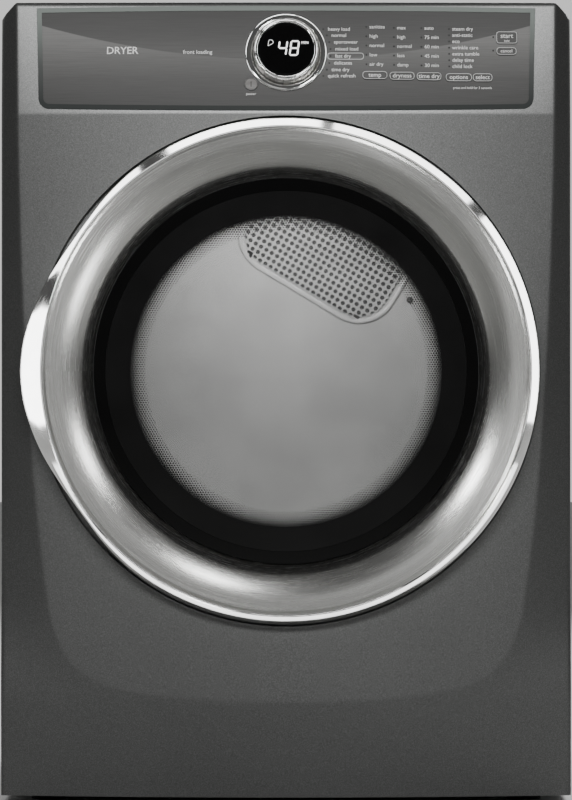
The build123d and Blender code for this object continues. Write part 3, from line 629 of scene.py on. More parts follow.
def tool_mesh(name, outline, low, high, matrix):
    """A closed prism from an outline, for cutting."""
    count = len(outline)
    verts = [matrix @ Vector((u, v, w)) for w in (low, high) for u, v in outline]
    faces = [tuple(range(count)), tuple(range(count, 2 * count))]
    faces += [(i, (i + 1) % count, count + (i + 1) % count, count + i) for i in range(count)]
    tool = new_piece(name, verts, faces)
    face_outwards(tool.data)
    return tool


def console_outline(inset):
    """The console's outline in its own plane, as the CAD has it."""
    half = 0.066 - inset
    top_x = 0.300 - inset
    low_x = 0.297 - inset
    corner = -0.057 + inset
    drop = 0.009
    r = 0.014 - inset
    points = [(top_x, half), (-top_x, half)]
    quarter = np.linspace(0, math.pi / 2, 7)
    points += [(-low_x + r * (1 - math.cos(a)), corner + r * (1 - math.sin(a))) for a in quarter]
    spread = np.linspace(-low_x + r, low_x - r, 25)[1:-1]
    points += [(x, corner - drop * (1 - (x / low_x) ** 2)) for x in spread]
    points += [(low_x - r * (1 - math.cos(a)), corner + r * (1 - math.sin(a))) for a in quarter[::-1]]
    return points


def circle_points(r, steps=256):
    return [(r * math.cos(2 * math.pi * i / steps), r * math.sin(2 * math.pi * i / steps)) for i in range(steps)]


def build_front_panel():
    """One deep-drawn sheet: bowed face, soft crease, cut corners, side returns, door recess."""
    columns = np.concatenate((
        [-HALF_WIDTH], np.linspace(-HALF_WIDTH + 0.0012, -0.255, 45), np.linspace(-0.252, 0.252, 130),
        np.linspace(0.255, HALF_WIDTH - 0.0012, 45), [HALF_WIDTH]))
    rows = np.concatenate((
        [PANEL_LOW], np.linspace(PANEL_LOW + 0.0015, 0.105, 24), np.linspace(0.108, 0.29, 74),
        np.linspace(0.294, 0.82, 90), np.linspace(0.824, 0.836, 7), np.linspace(0.84, TOP - 0.012, 16),
        np.linspace(TOP - 0.010, TOP, 14)))
    grid_x, grid_z = np.meshgrid(columns, rows)
    grid_y = panel_surface(grid_x, grid_z)
    corner_r = 0.004
    edge = HALF_WIDTH - np.abs(grid_x)
    grid_y += corner_r * (1 - np.sqrt(np.clip(1 - np.clip(1 - edge / corner_r, 0, 1) ** 2, 0, 1))) * 0.8
    limit = BEVEL_X + TOP
    over = np.maximum(0, np.abs(grid_x) + grid_z - limit)
    grid_x = np.sign(grid_x) * (np.abs(grid_x) - over / 2)
    grid_z = grid_z - over / 2
    tall, wide = grid_x.shape
    front = [(x, y, z) for x, y, z in zip(grid_x.ravel(), grid_y.ravel(), grid_z.ravel())]
    narrower = 1 - SHEET / HALF_WIDTH
    shorter = 1 - 2 * SHEET / (TOP - PANEL_LOW)
    back = [(x * narrower, y + SHEET, PANEL_LOW + SHEET + (z - PANEL_LOW) * shorter) for x, y, z in front]
    count = len(front)
    faces = []
    for row in range(tall - 1):
        for column in range(wide - 1):
            a = row * wide + column
            faces.append((a, a + 1, a + wide + 1, a + wide))
            faces.append((count + a, count + a + wide, count + a + wide + 1, count + a + 1))
    border = list(range(wide))
    border += [row * wide + wide - 1 for row in range(1, tall)]
    border += [(tall - 1) * wide + column for column in range(wide - 2, -1, -1)]
    border += [row * wide for row in range(tall - 2, 0, -1)]
    verts = front + back
    outer_rim = len(verts)
    verts += [(front[i][0], PANEL_BACK, front[i][2]) for i in border]
    inner_rim = len(verts)
    verts += [(back[i][0], PANEL_BACK, back[i][2]) for i in border]
    total = len(border)
    for k in range(total):
        n = (k + 1) % total
        a, b = border[k], border[n]
        faces.append((b, a, outer_rim + k, outer_rim + n))
        faces.append((outer_rim + n, outer_rim + k, inner_rim + k, inner_rim + n))
        faces.append((inner_rim + n, inner_rim + k, count + a, count + b))
    panel = add_mesh("front_shell", verts, faces, PAINT, "cabinet", sharp=40.0)
    cut_with(panel, tool_mesh("recess_cut", circle_points(RECESS_R), 0.32, 0.42, facing_front(z=DOOR_Z)))
    cut_with(panel, tool_mesh("console_cut", console_outline(0.0), -0.05, 0.03, console_matrix(0.0, CONSOLE_Z)))
    smooth(panel, 40.0)
    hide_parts("front_panel")
    build_recess()


def build_recess():
    """The round pan behind the door: a wall, a flat floor with the latch slot, and the lip of the opening."""
    steps = 256
    profile_tail = [
        (RECESS_R - 0.0022, RECESS_FLOOR), (0.262, RECESS_FLOOR), (OPENING_R + 0.002, RECESS_FLOOR),
        (OPENING_R, RECESS_FLOOR + 0.002), (OPENING_R, RECESS_FLOOR + 0.012),
        (OPENING_R + SHEET, RECESS_FLOOR + 0.012), (OPENING_R + SHEET, RECESS_FLOOR + SHEET + 0.001),
        (0.262, RECESS_FLOOR + SHEET), (RECESS_R + SHEET, RECESS_FLOOR + SHEET)]
    verts = []
    for step in range(steps):
        angle = 2 * math.pi * step / steps
        c, s = math.cos(angle), math.sin(angle)
        rim_y = float(panel_surface(np.array([RECESS_R * c]), np.array([DOOR_Z + RECESS_R * s]))[0])
        rim_y = min(rim_y, RECESS_FLOOR - 0.0006)
        shoulder = min(RECESS_FLOOR - 0.0003, rim_y + 0.0015)
        column = [
            (RECESS_R + SHEET, rim_y + 0.0006), (RECESS_R + 0.0002, rim_y + 0.0002), (RECESS_R - 0.0004, shoulder)]
        verts += [(r * c, y, DOOR_Z + r * s) for r, y in column + profile_tail]
    faces = loop_faces(steps, len(verts) // steps)
    pan = add_mesh("door_recess", verts, faces, PAINT, "cabinet")
    latch_x, latch_z = mid("door_latch")
    slot = rounded([(-0.008, -0.012), (0.008, -0.012), (0.008, 0.012), (-0.008, 0.012)], 0.003)
    cut_with(pan, tool_mesh("slot_cut", slot, 0.34, 0.36, facing_front(latch_x, 0, latch_z)))
    smooth(pan)


# ---------------------------------------------------------------- door

def ring_edge(angle):
    """Distance of the ring's edge from the door's middle, at an angle in degrees from the handle's side."""
    known = [0, 6, 11, 17, 25, 31, 37, 45, 52, 60, 180]
    reach = [318.0, 316.6, 313.0, 308.5, 301.4, 297.6, 296.5, 299.2, 301.6, 302.0, 302.0]
    return float(np.interp(abs(angle), known, reach)) * MM


def ring_edges(steps):
    """The ring's edge all round, smoothed."""
    raw = np.array([ring_edge((360.0 * i / steps + 180) % 360 - 180) for i in range(steps)])
    kernel = np.hanning(19)
    kernel /= kernel.sum()
    wrapped = np.concatenate((raw[-9:], raw, raw[:9]))
    return np.convolve(wrapped, kernel, "valid")


def ring_of(name, columns, finish):
    """A closed ring round the door's axis from one (radius, depth) outline for each step of the turn."""
    verts = []
    for step, column in enumerate(columns):
        turn = 2 * math.pi * step / len(columns)
        verts += [(-r * math.cos(turn), y, DOOR_Z + r * math.sin(turn)) for r, y in column]
    faces = loop_faces(len(columns), len(columns[0]))
    return add_mesh(name, verts, faces, finish, "door", sharp=50.0)


def build_door_ring():
    """The door's metal in two pressings: a bright bevelled rim, and the wide dish down to the pane."""
    steps = 720
    edges = ring_edges(steps)
    dish_mm = [
        (280.0, -398.2), (276, -398.0), (272, -397.6), (267, -396.7), (262, -395.3), (256.5, -393.4),
        (251.5, -391.2), (247.2, -388.9), (244.2, -386.8), (242.7, -385.2), (241.6, -383.4),
        (238.2, -377.2), (235, -371.4), (233, -367.6), (231.4, -366.2), (231.2, -362.0),
        (236.6, -362.0), (237.6, -371.5), (240.4, -377.0), (244, -383.6), (258, -390.5),
        (275, -393.0), (284, -393.6), (290.7, -393.6)]
    groove = CROWN_R - 0.0030
    land_start = groove - 0.0024
    land = [(land_start + (0.2800 - land_start) * part, RING_FRONT + 0.0014 + 0.0004 * part)
            for part in (0.25, 0.5, 0.75)]
    dish = [(0.2907, RING_FRONT + 0.0021), (groove - 0.0004, RING_FRONT + 0.0024), (land_start, RING_FRONT + 0.0014)]
    dish += land + [(r * MM, y * MM) for r, y in dish_mm]
    rims = []
    for step in range(steps):
        angle = 360.0 * step / steps
        off = abs((angle + 180) % 360 - 180)
        edge = edges[step]
        band = edge - CROWN_R
        fall = 0.9 * band
        back = RING_BACK if off > 21 else RING_BACK - 0.020 * smoothstep(np.array(21.0 - off), 0.0, 2.0)
        rims.append([
            (0.291, back), (edge - 0.0008, back), (edge, back - 0.0008), (edge, RING_FRONT + fall + 0.0002),
            (edge - 0.0003, RING_FRONT + fall - 0.0004), (edge - band * 0.5, RING_FRONT + fall * 0.5 - 0.0004),
            (CROWN_R + 0.0012, RING_FRONT + 0.0008), (CROWN_R + 0.0003, RING_FRONT + 0.0001),
            (CROWN_R - 0.0006, RING_FRONT + 0.0003), (CROWN_R - 0.0016, RING_FRONT + 0.0018)])
    ring_of("door_dish", [dish] * steps, RING_METAL)
    rim = ring_of("door_trim_ring", rims, RIM_METAL)
    low, high = mid("hinge_bracket")[1] - 0.052, mid("hinge_bracket")[1] + 0.052
    notch = [(0.255, low), (0.320, low), (0.320, high), (0.255, high)]
    cut_with(rim, tool_mesh("hinge_notch", notch, 0.350, 0.390, facing_front()))
    smooth(rim, 50.0)
    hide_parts("door_ring")


CROWN_R = 0.2924
PANE_BLACK_R = 0.186
PANE_CLEAR_R = 0.168
PANE_GLOSS_R = 0.2155


def pane_y(r):
    """The front of the pane, which is crowned a little."""
    return GLASS_FRONT + 0.0048 * (r / GLASS_R) ** 2


def build_door_pane():
    """The pane: clear middle, a printed border that breaks up into dots, and a glossy edge band."""
    back_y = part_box("door_glass")[1].y
    turn = facing_front(z=DOOR_Z)
    clear = [(r, -pane_y(r)) for r in np.linspace(0.0006, PANE_BLACK_R, 24)]
    clear += [(PANE_BLACK_R, -back_y - 0.002), (0.0006, -back_y - 0.002)]
    verts, faces = lathe(clear, 256, turn)
    window = add_mesh("door_window", verts, faces, WINDOW_GLASS, "door")
    border = [(r, -pane_y(r)) for r in np.linspace(PANE_BLACK_R + 0.0001, PANE_GLOSS_R, 12)]
    border += [(PANE_GLOSS_R, -back_y - 0.001), (PANE_BLACK_R + 0.0001, -back_y - 0.001)]
    verts, faces = lathe(border, 256, turn)
    add_mesh("window_border", verts, faces, BLACK_GLASS, "door")
    edge = [(r, -pane_y(r) + 0.0003) for r in np.linspace(PANE_GLOSS_R + 0.0003, GLASS_R - 0.0004, 8)]
    edge += [(GLASS_R - 0.0003, -back_y), (PANE_GLOSS_R + 0.0003, -back_y)]
    verts, faces = lathe(edge, 256, turn)
    add_mesh("window_edge_band", verts, faces, GLOSS_BAND, "door")
    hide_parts("door_glass")
    build_dots(back_y)


def build_dots(back_y):
    """Printed dots behind the pane, growing outwards until they join the black border."""
    pitch = 0.0031
    sides = 8
    verts = []
    faces = []
    rows = int(PANE_BLACK_R / (pitch * math.sqrt(3) / 2)) + 2
    columns = int(PANE_BLACK_R / pitch) + 2
    y = back_y + 0.0006
    for row in range(-rows, rows + 1):
        shift = pitch / 2 if row % 2 else 0.0
        for column in range(-columns, columns + 1):
            x = column * pitch + shift
            z = row * pitch * math.sqrt(3) / 2
            r = math.hypot(x, z)
            if not PANE_CLEAR_R < r < PANE_BLACK_R + 0.0018:
                continue
            share = (r - PANE_CLEAR_R) / (PANE_BLACK_R - PANE_CLEAR_R)
            size = pitch * (0.20 + 0.37 * share)
            start = len(verts)
            for side in range(sides):
                turn = 2 * math.pi * side / sides
                verts.append((x + size * math.cos(turn), y, DOOR_Z + z + size * math.sin(turn)))
            faces.append(tuple(range(start, start + sides)))
    dots = new_piece("window_dots", verts, faces, BLACK_GLASS)
    thick = dots.modifiers.new("thickness", "SOLIDIFY")
    thick.thickness = 0.00012
    bake_modifiers(dots)
    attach(dots, "door")


# ---------------------------------------------------------------- drum's rear wall

GRILLE_TILT = math.radians(31)
GRILLE_HALF_WIDE = 0.117
GRILLE_HALF_TALL = 0.070
GRILLE_CORNER = 0.054


def grille_place():
    """A frame on the grille: X along its tilt, Y across it, Z towards the door."""
    x, z = mid("heater_grille")
    return facing_front(x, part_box("heater_grille")[0].y, z) @ Matrix.Rotation(-GRILLE_TILT, 4, "Z")


def inside_grille(u, v, inset):
    over_u = max(0.0, abs(u) - (GRILLE_HALF_WIDE - GRILLE_CORNER))
    over_v = max(0.0, abs(v) - (GRILLE_HALF_TALL - GRILLE_CORNER))
    return math.hypot(over_u, over_v) < GRILLE_CORNER - inset


def build_grille():
    """The perforated hot-air cover: a square field of round holes inside a flat, rounded border."""
    turn = grille_place()
    pitch = 0.0083
    hole_r = 0.0030
    sides = 16
    cells = []
    for row in range(-9, 10):
        for column in range(-14, 15):
            if inside_grille(column * pitch, row * pitch, 0.0060):
                cells.append((column * pitch, row * pitch))
    verts = []
    faces = []
    for u, v in cells:
        start = len(verts)
        if not inside_grille(u, v, 0.0082):
            half = pitch / 2
            verts += [turn @ Vector((u + a * half, v + b * half, 0)) for a, b in ((-1, -1), (1, -1), (1, 1), (-1, 1))]
            faces.append((start, start + 1, start + 2, start + 3))
            continue
        for ring in range(4):
            for side in range(sides):
                angle = 2 * math.pi * side / sides + math.pi / 4
                reach = pitch / 2 / max(abs(math.cos(angle)), abs(math.sin(angle)))
                r = (reach, hole_r + 0.0003, hole_r, hole_r)[ring]
                drop = (0.0, 0.0, -0.0005, -0.0045)[ring]
                verts.append(turn @ Vector((u + r * math.cos(angle), v + r * math.sin(angle), drop)))
        for ring in range(3):
            for side in range(sides):
                n = (side + 1) % sides
                here, there = start + ring * sides, start + (ring + 1) * sides
                faces.append((here + side, here + n, there + n, there + side))
    field = add_mesh("heater_grille_holes", verts, faces, REAR_WALL, "cabinet")
    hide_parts("heater_grille")
    build_grille_border(turn)
    build_grille_backing(turn)


def grille_outline(inset, parts=10):
    half_u, half_v = GRILLE_HALF_WIDE - inset, GRILLE_HALF_TALL - inset
    r = GRILLE_CORNER - inset
    points = []
    for quarter, (su, sv) in enumerate(((1, 1), (-1, 1), (-1, -1), (1, -1))):
        for part in range(parts + 1):
            angle = math.pi / 2 * (quarter + part / parts)
            points.append((su * (half_u - r) + r * math.cos(angle), sv * (half_v - r) + r * math.sin(angle)))
    return points


def build_grille_border(turn):
    """The rim: a rolled step round the outside, and a flat that reaches in under the hole field."""
    rings = [
        (0.0, -0.0015), (0.0, 0.0004), (0.0010, 0.0014), (0.0026, 0.0014), (0.0040, 0.0002),
        (0.0070, -0.0003), (0.0070, -0.0016)]
    verts = [turn @ Vector((u, v, lift)) for inset, lift in rings for u, v in grille_outline(inset)]
    count = len(grille_outline(0.0))
    faces = []
    for ring in range(len(rings)):
        after = (ring + 1) % len(rings)
        for index in range(count):
            n = (index + 1) % count
            faces.append((ring * count + index, ring * count + n, after * count + n, after * count + index))
    add_mesh("heater_grille_border", verts, faces, REAR_WALL, "cabinet")


def build_grille_backing(turn):
    """A near-black sheet just behind the holes, painted shade where the holes look into the dark, and the small sensor
    beside the grille.
    """
    outline = grille_outline(0.0105)
    # Painted shade: this dark sheet stands for the shade inside, behind the holes.
    verts = [turn @ Vector((u, v, w)) for w in (-0.0060, -0.0050) for u, v in outline]
    add_mesh("heater_screen", verts, prism_faces(len(outline)), SHADE_SCREEN_AND_TIP_DARK, "cabinet")
    tip = [
        (0.0004, -0.001), (0.0042, -0.001), (0.0042, 0.0008), (0.0030, 0.0026), (0.0012, 0.0032), (0.0004, 0.0032)]
    verts, faces = lathe(tip, 32, facing_front(0.1655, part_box("heater_grille")[0].y, 0.6205))
    add_mesh("thermistor_tip", verts, faces, SHADE_SCREEN_AND_TIP_DARK, "cabinet")


# ---------------------------------------------------------------- console

LEGENDS = []


def write(text, x, z, size, align="LEFT", lift=0.00025, bold=0.0):
    """Keeps a printed word, in its place on the console, for one joined mesh."""
    curve = bpy.data.curves.new("word", "FONT")
    curve.body = text
    curve.size = size
    curve.align_x = align
    curve.align_y = "CENTER"
    curve.extrude = 0.00004
    curve.offset = bold
    curve.resolution_u = 3
    word = bpy.data.objects.new("word", curve)
    bpy.context.scene.collection.objects.link(word)
    bpy.context.view_layer.update()
    mesh = bpy.data.meshes.new_from_object(word.evaluated_get(bpy.context.evaluated_depsgraph_get()))
    mesh.transform(console_matrix(x, z, lift))
    LEGENDS.append(mesh)
    bpy.data.objects.remove(word)


def keep_mesh(name, verts, faces):
    """Keeps a mesh for the next joined piece."""
    mesh = bpy.data.meshes.new(name)
    mesh.from_pydata(verts, [], faces)
    LEGENDS.append(mesh)


def outline_mesh(points, half, x, z, lift):
    """A thin printed line round a closed outline on the console."""
    place = console_matrix(x, z, lift)
    count = len(points)
    middle = Vector((sum(p[0] for p in points) / count, sum(p[1] for p in points) / count))
    verts = []
    for side in (-half, half):
        for index in range(count):
            here = Vector(points[index])
            along = Vector(points[(index + 1) % count]) - Vector(points[index - 1])
            outward = Vector((along.y, -along.x)).normalized()
            if outward.dot(here - middle) < 0:
                outward = -outward
            spot = here + outward * side
            verts.append(place @ Vector((spot.x, spot.y, 0)))
    for side in (-half, half):
        for index in range(count):
            lifted = verts[index if side < 0 else count + index]
            verts.append(lifted + place.to_3x3() @ Vector((0, 0, 0.00008)))
    faces = []
    for index in range(count):
        n = (index + 1) % count
        faces.append((index, n, count + n, count + index))
        faces.append((2 * count + index, 3 * count + index, 3 * count + n, 2 * count + n))
        faces.append((index, 2 * count + index, 2 * count + n, n))
        faces.append((count + index, count + n, 3 * count + n, 3 * count + index))
    keep_mesh("line", verts, faces)


def capsule(wide, tall, corner=None):
    r = corner or tall / 2
    w, h = wide / 2, tall / 2
    return rounded([(-w, -h), (w, -h), (w, h), (-w, h)], r, 6)


def join_legends(name, finish, body):
    verts = []
    faces = []
    for mesh in LEGENDS:
        start = len(verts)
        verts += [tuple(v.co) for v in mesh.vertices]
        faces += [tuple(start + i for i in polygon.vertices) for polygon in mesh.polygons]
    LEGENDS.clear()
    piece = new_piece(name, verts, faces, finish)
    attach(piece, body)


def build_legends():
    """Plain function words beside the indicator lights, and on each button."""
    small = 0.0063
    cycles = [
        "heavy load", "normal", "sportswear", "mixed load", "fast dry", "delicates", "time dry", "quick refresh"]
    lean = math.cos(math.radians(14.5))
    for index, word in enumerate(cycles):
        angle = math.radians(33.4 - 9.55 * index)
        x = 0.0535 * math.cos(angle)
        z = DIAL_Z + 0.0535 * math.sin(angle) * lean
        write(word, x + 0.0055, z, small)
    columns = [
        (96.4, 934.4, 11.4, ["sanitize", "high", "normal", "low", "air dry"]),
        (129.5, 933.3, 11.3, ["max", "high", "normal", "less", "damp"]),
        (162.5, 933.1, 11.4, ["auto", "75 min", "60 min", "45 min", "30 min"]),
        (195.8, 932.1, 7.6, [
            "steam dry", "anti-static", "eco", "wrinkle care", "extra tumble", "delay time", "child lock"])]
    for x, z_top, pitch, words in columns:
        for row, word in enumerate(words):
            write(word, (x + 3.6) * MM, (z_top - pitch * row) * MM, small)
    outline_mesh(capsule(0.043, 0.0078), 0.00022, 0.0715, DIAL_Z - 0.0044, 0.00025)
    write("power", -0.0418, 0.8525, 0.0045, "CENTER")
    write("press and hold for 3 seconds", 0.2235, 0.8605, 0.0040, "CENTER")
    write("DRYER", -0.1965, 0.9055, 0.0125, "CENTER", bold=0.0001)
    write("front loading", -0.1060, 0.9035, 0.0068, "CENTER")
    join_legends("console_legends", LEGEND, "cabinet")
    labels = {
        "temp_button": "temp", "dryness_button": "dryness", "time_button": "time dry",
        "options_button": "options", "select_button": "select", "start_button": "start", "cancel_button": "cancel"}
    for name, word in labels.items():
        x, z = mid(name)
        low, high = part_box(name)
        wide = high.x - low.x
        tall = {"start_button": 0.015, "cancel_button": 0.0094}.get(name, 0.010)
        corner = 0.0035 if name == "start_button" else tall / 2
        size = 0.0082 if name == "start_button" else (0.0058 if name == "cancel_button" else 0.0074)
        shift = {"start_button": 0.0018}.get(name, 0.0)
        z_face = z + 0.0008
        write(word, x, z_face + shift, size, "CENTER", lift=0.00125)
        if name == "start_button":
            write("hold", x, z_face - 0.0042, 0.0036, "CENTER", lift=0.00125)
        outline_mesh(capsule(wide - 0.0012, tall - 0.0012, corner), 0.0002, x, z_face, 0.00125)
        join_legends(name + "_print", LEGEND, name.replace("_button", "_key"))


def build_power_mark():
    """The dark bar and ring on the power key."""
    x, z = mid("power_button")
    outline_mesh(capsule(0.0002, 0.0062, 0.00008), 0.00035, x, z + 0.0004, 0.00125)
    join_legends("power_button_mark", MARK_BLACK, "power_key")
    outline_mesh(circle_points(0.0074, 64), 0.0003, x, z + 0.0002, 0.00125)
    join_legends("power_button_ring", MARK_BLACK, "power_key")


def build_top_panel():
    """The top pan, with its long edges cut at 45 degrees like the front's corners."""
    low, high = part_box("top_panel")
    front, back = low.y, high.y
    verts = []
    for inset, y0, y1 in ((0.0, front, back), (SHEET, front + SHEET, back - SHEET)):
        half = HALF_WIDTH - inset
        top = TOP - inset
        cut = BEVEL - 0.4 * inset
        profile = [
            (-half, low.z), (-half, top - cut), (-half + cut, top), (half - cut, top), (half, top - cut), (half, low.z)]
        for y in (y0, y1):
            verts += [(x, y, z) for x, z in profile]
    faces = []
    for start in (0, 12):
        walls = [(start + i, start + i + 1, start + 7 + i, start + 6 + i) for i in range(5)]
        ends = [tuple(range(start, start + 6)), tuple(range(start + 6, start + 12))]
        faces += walls + ends
    for i, n in ((0, 6), (6, 11), (11, 5), (5, 0)):
        faces.append((i, n, n + 12, i + 12))
    pan = add_mesh("top_pan", verts, faces, PAINT, "cabinet", sharp=30.0)
    edge = pan.modifiers.new("rolled_edges", "BEVEL")
    edge.width = 0.0010
    edge.segments = 2
    edge.limit_method = "ANGLE"
    bake_modifiers(pan)
    smooth(pan, 50.0)
    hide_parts("top_panel")


def build_dial():
    """The dial: a fixed bright ring, the turning knob, and the dark window with its lit digits."""
    place = console_matrix(0.0, DIAL_Z)
    steps = 160
    bezel = [
        (0.0406, 0.0006), (0.0486, 0.0006), (0.0486, 0.0013), (0.0481, 0.0021), (0.0470, 0.0028),
        (0.0455, 0.0030), (0.0425, 0.0030), (0.0413, 0.0026), (0.0407, 0.0019)]
    verts, faces = lathe(bezel, steps, place)
    ring = add_mesh("dial_bright_ring", verts, faces, CHROME, "cabinet", sharp=60)
    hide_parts("dial_bezel")
    knob = [(0.0338, -0.0080), (0.0430, -0.0080), (0.0430, -0.0060), (0.0400, -0.0060), (0.0400, 0.0030),
            (0.0397, 0.0055), (0.0388, 0.0090), (0.0380, 0.0115), (0.0374, 0.0126), (0.0366, 0.0134),
            (0.0356, 0.0137), (0.0347, 0.0136), (0.0341, 0.0130), (0.0338, 0.0122)]
    verts, faces = lathe(knob, steps, place)
    grip = add_mesh("dial_knob", verts, faces, [KNOB_METAL, CHROME], "dial", sharp=60)
    for polygon in grip.data.polygons:
        middle = place.inverted() @ polygon.center
        if middle.z > 0.0118:
            polygon.material_index = 1
    for index in range(24):
        turn = 2 * math.pi * index / 24
        notch_base = place @ Matrix.Rotation(turn, 4, "Z")
        rib = [Vector((0.0403, -0.0004, 0.0034)), Vector((0.0403, 0.0004, 0.0034)),
               Vector((0.0386, 0.0004, 0.0108)), Vector((0.0386, -0.0004, 0.0108))]
        rib_in = [Vector((0.0390, p.y, p.z)) if p.z < 0.005 else Vector((0.0375, p.y, p.z)) for p in rib]
        rib_verts = [notch_base @ v for v in rib + rib_in]
        rib_faces = [(0, 1, 2, 3), (4, 7, 6, 5), (0, 4, 5, 1), (1, 5, 6, 2), (2, 6, 7, 3), (3, 7, 4, 0)]
        keep_mesh("rib", rib_verts, rib_faces)
    join_legends("dial_grip_ribs", KNOB_METAL, "dial")
    lens = [(0.0003, -0.0130), (0.0160, -0.0130), (0.0160, 0.0090), (0.0332, 0.0090), (0.0332, 0.0118)]
    lens += [(r, 0.0124 + 0.0006 * (1 - (r / 0.0327) ** 2)) for r in (0.0327, 0.025, 0.015, 0.007, 0.0003)]
    verts, faces = lathe(lens, steps, place)
    glass = add_mesh("dial_window", verts, faces, DISPLAY_BLACK, "cabinet", sharp=60)
    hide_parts("display_window")
    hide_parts("selector_knob")
    build_digits()


SEGMENTS = {"4": "bcfg", "8": "abcdefg"}


def build_digits():
    """Seven-segment digits and a small unit word, just under the window's face."""
    lift = 0.01335
    wide, tall, bar = 0.0092, 0.0175, 0.0019
    w, h = wide / 2, tall / 2
    bars = {
        "a": ((-w, h), (w, h)), "g": ((-w, 0), (w, 0)), "d": ((-w, -h), (w, -h)), "f": ((-w, 0), (-w, h)),
        "b": ((w, 0), (w, h)), "e": ((-w, -h), (-w, 0)), "c": ((w, -h), (w, 0))}
    slant = 0.12
    centre_z = DIAL_Z + 0.0010
    for digit, offset in (("4", -0.0040), ("8", 0.0100)):
        for name in SEGMENTS[digit]:
            (x0, y0), (x1, y1) = bars[name]
            along = Vector((x1 - x0, y1 - y0)).normalized()
            side = Vector((-along.y, along.x)) * bar / 2
            start = Vector((x0, y0)) + along * bar * 0.62
            end = Vector((x1, y1)) - along * bar * 0.62
            tip0 = start - along * bar / 2
            tip1 = end + along * bar / 2
            points = [tip0, start - side, end - side, tip1, end + side, start + side]
            place = console_matrix(0.0, centre_z, lift)
            low = [place @ Vector((p.x + offset + slant * p.y, p.y, 0)) for p in points]
            up = [place @ Vector((p.x + offset + slant * p.y, p.y, 0.00008)) for p in points]
            keep_mesh("bar", low + up, prism_faces(len(points)))
    write("MIN", 0.0182, centre_z + 0.0066, 0.0048, lift=lift)
    round_turn = np.linspace(0, 2 * math.pi, 25)[:-1]
    leaf = [(0.0042 * math.sin(a) * (0.55 + 0.45 * math.cos(a)), 0.0042 * math.cos(a)) for a in round_turn]
    turned = [(x * 0.82 + z * 0.57, -x * 0.57 + z * 0.82) for x, z in leaf]
    outline_mesh(turned, 0.0002, -0.0190, centre_z + 0.0062, lift)
    join_legends("display_figures", DIGITS, "cabinet")


# ---------------------------------------------------------------- studio

def area_light(name, place, target, wide, tall, power):
    light = bpy.data.lights.new(name, "AREA")
    light.shape = "RECTANGLE"
    light.size = wide
    light.size_y = tall
    light.energy = power
    lamp = bpy.data.objects.new(name, light)
    lamp.location = place
    lamp.rotation_euler = (Vector(target) - Vector(place)).to_track_quat("-Z", "Y").to_euler()
    bpy.context.scene.collection.objects.link(lamp)
    return lamp


def only_for(lamp, pieces):
    """Aims a lamp's light at some pieces alone, as a shaded card does in a studio."""
    group = bpy.data.collections.new(lamp.name + "_pieces")
    for piece in pieces:
        group.objects.link(piece)
    lamp.light_linking.receiver_collection = group


def light_sky(world):
    """A dim studio with a pale wall behind the dryer."""
    tree = world.node_tree
    background = tree.nodes["Background"]
    background.inputs["Color"].default_value = (0.80, 0.80, 0.79, 1)
    coords = tree.nodes.new("ShaderNodeTexCoord")
    split = tree.nodes.new("ShaderNodeSeparateXYZ")
    spread = tree.nodes.new("ShaderNodeMapRange")
    spread.interpolation_type = "SMOOTHSTEP"
    for socket, value in (("From Min", 0.45), ("From Max", 0.90), ("To Min", 0.10), ("To Max", 0.95)):
        spread.inputs[socket].default_value = value
    tree.links.new(coords.outputs["Generated"], split.inputs[0])
    tree.links.new(split.outputs["Y"], spread.inputs["Value"])
    tree.links.new(spread.outputs["Result"], background.inputs["Strength"])


# (angle about the door in degrees, half its spread in degrees, power for each square metre)
RIM_CARDS = [(180, 15, 24), (141, 15, 18), (100, 18, 20), (61, 18, 16), (12, 26, 20)]
# (angle about the door in degrees, distance from its axis, power)
STREAK_LAMPS = [(150, 1.5, 14.0), (70, 1.2, 8.0), (24, 1.4, 8.0), (-24, 1.0, 6.0)]


def polar_place(angle, reach, y):
    """A place round the door's axis, by the angle from the right and the distance from the axis."""
    turn = math.radians(angle)
    return (reach * math.cos(turn), y, DOOR_Z + reach * math.sin(turn))


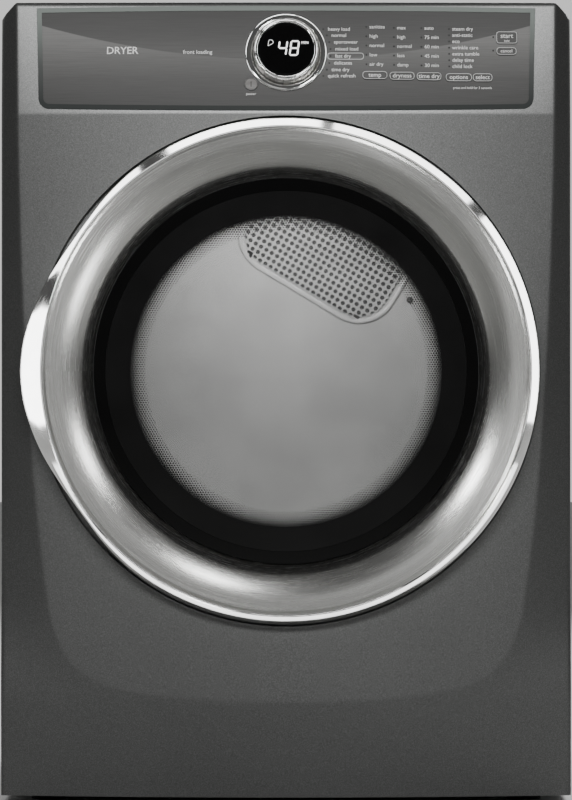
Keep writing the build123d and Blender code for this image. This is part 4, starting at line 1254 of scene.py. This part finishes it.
def build_studio():
    size = 16.0
    finish, shader = new_material("studio_floor", (0.62, 0.62, 0.61), roughness=0.6)
    clouds = noise(finish, object_coords(finish), scale=2.0)
    tint(finish, shader, clouds, (0.60, 0.60, 0.59), (0.64, 0.64, 0.63))
    corners = [(-size, -size, 0), (size, -size, 0), (size, size, 0), (-size, size, 0)]
    floor = new_piece("studio_floor", corners, [(0, 1, 2, 3)], finish)
    world = bpy.data.worlds.new("studio")
    bpy.context.scene.world = world
    world.use_nodes = True
    light_sky(world)
    middle = (0, -0.3, 0.5)
    rim_metal = [bpy.data.objects[name] for name in ("door_trim_ring", "dial_bright_ring", "dial_knob")]
    rim_metal += [nodes[name] for name in ("hinge_bracket", "hinge_leaf", "power_button")]
    bright = rim_metal + [bpy.data.objects["door_dish"]]
    shaded = bright + [floor, bpy.data.objects["dial_window"]]
    dull = [piece for piece in bpy.context.scene.objects if piece.type == "MESH" and piece not in shaded]
    only_for(area_light("key_softbox", (0.0, -4.3, 2.6), (0, -0.3, 0.75), 2.6, 0.9, 175), dull)
    only_for(area_light("floor_lamp", (0.0, 0.8, 3.2), (0, 0.4, 0), 4.0, 2.0, 70), [floor])
    only_for(area_light("front_card_left", (-1.15, -8.0, 1.2), (0, 0, 0.6), 2.3, 3.4, 15), bright)
    only_for(area_light("front_card_right", (1.35, -8.0, 1.5), (0, 0, 0.6), 1.5, 2.6, 5.5), bright)
    reach, depth = 2.4, 1.2
    for index, (angle, spread, power) in enumerate(RIM_CARDS):
        place = polar_place(angle, reach, -0.32)
        length = 2 * reach * math.tan(math.radians(spread))
        card = area_light("rim_card_%d" % index, place, (0, -0.32, DOOR_Z), length, depth, power * length * depth)
        card.rotation_euler = (0, math.radians(90 - angle), 0)
        only_for(card, rim_metal)
    lower_card = area_light("lower_card", (0, -0.60, 0.004), (0, -0.60, 1), 2.6, 0.4, 9)
    lower_card.visible_camera = False
    only_for(lower_card, rim_metal)
    for index, (angle, reach, power) in enumerate(STREAK_LAMPS):
        place = polar_place(angle, reach, -2.6)
        lamp = area_light("streak_lamp_%d" % index, place, (0, -0.38, DOOR_Z), 0.28, 0.28, power)
        only_for(lamp, bright)
    outer_walls = [nodes[name] for name in ("left_side_panel", "right_side_panel", "rear_panel", "terminal_cover")]
    outer_walls.append(bpy.data.objects["top_pan"])
    only_for(area_light("left_wall_lamp", (-4.2, -1.2, 2.6), middle, 2.2, 1.6, 220), outer_walls)
    only_for(area_light("right_wall_lamp", (4.2, -1.2, 2.6), middle, 2.2, 1.6, 220), outer_walls)
    only_for(area_light("overhead_lamp", (0.0, 0.4, 4.2), (0, 0.1, 0.9), 2.4, 2.0, 90), outer_walls)
    area_light("rear_softbox", (0.8, 3.2, 2.4), (0, 0.3, 0.5), 2.4, 1.6, 110)
    area_light("drum_lamp", (0.0, 0.06, 0.76), (0.0, 0.29, 0.53), 0.25, 0.06, 1.4)


def build_camera():
    """Level with the middle of the front, far back, as a product is shown."""
    camera = bpy.data.cameras.new("front_view")
    camera.sensor_fit = "HORIZONTAL"
    camera.sensor_width = 36.0
    distance = 5.5
    share_of_width = 0.9958042
    camera.lens = camera.sensor_width * share_of_width * (distance + 0.02) / (2 * HALF_WIDTH)
    camera.clip_end = 60.0
    lens = bpy.data.objects.new("front_view", camera)
    lens.location = (0.0, -0.35 - distance, 0.4865)
    lens.rotation_euler = (math.radians(90), 0, 0)
    bpy.context.scene.collection.objects.link(lens)
    bpy.context.scene.camera = lens


build_front_panel()
build_door_ring()
build_door_pane()
build_grille()
build_dial()
build_legends()
build_power_mark()
build_top_panel()
build_studio()
build_camera()
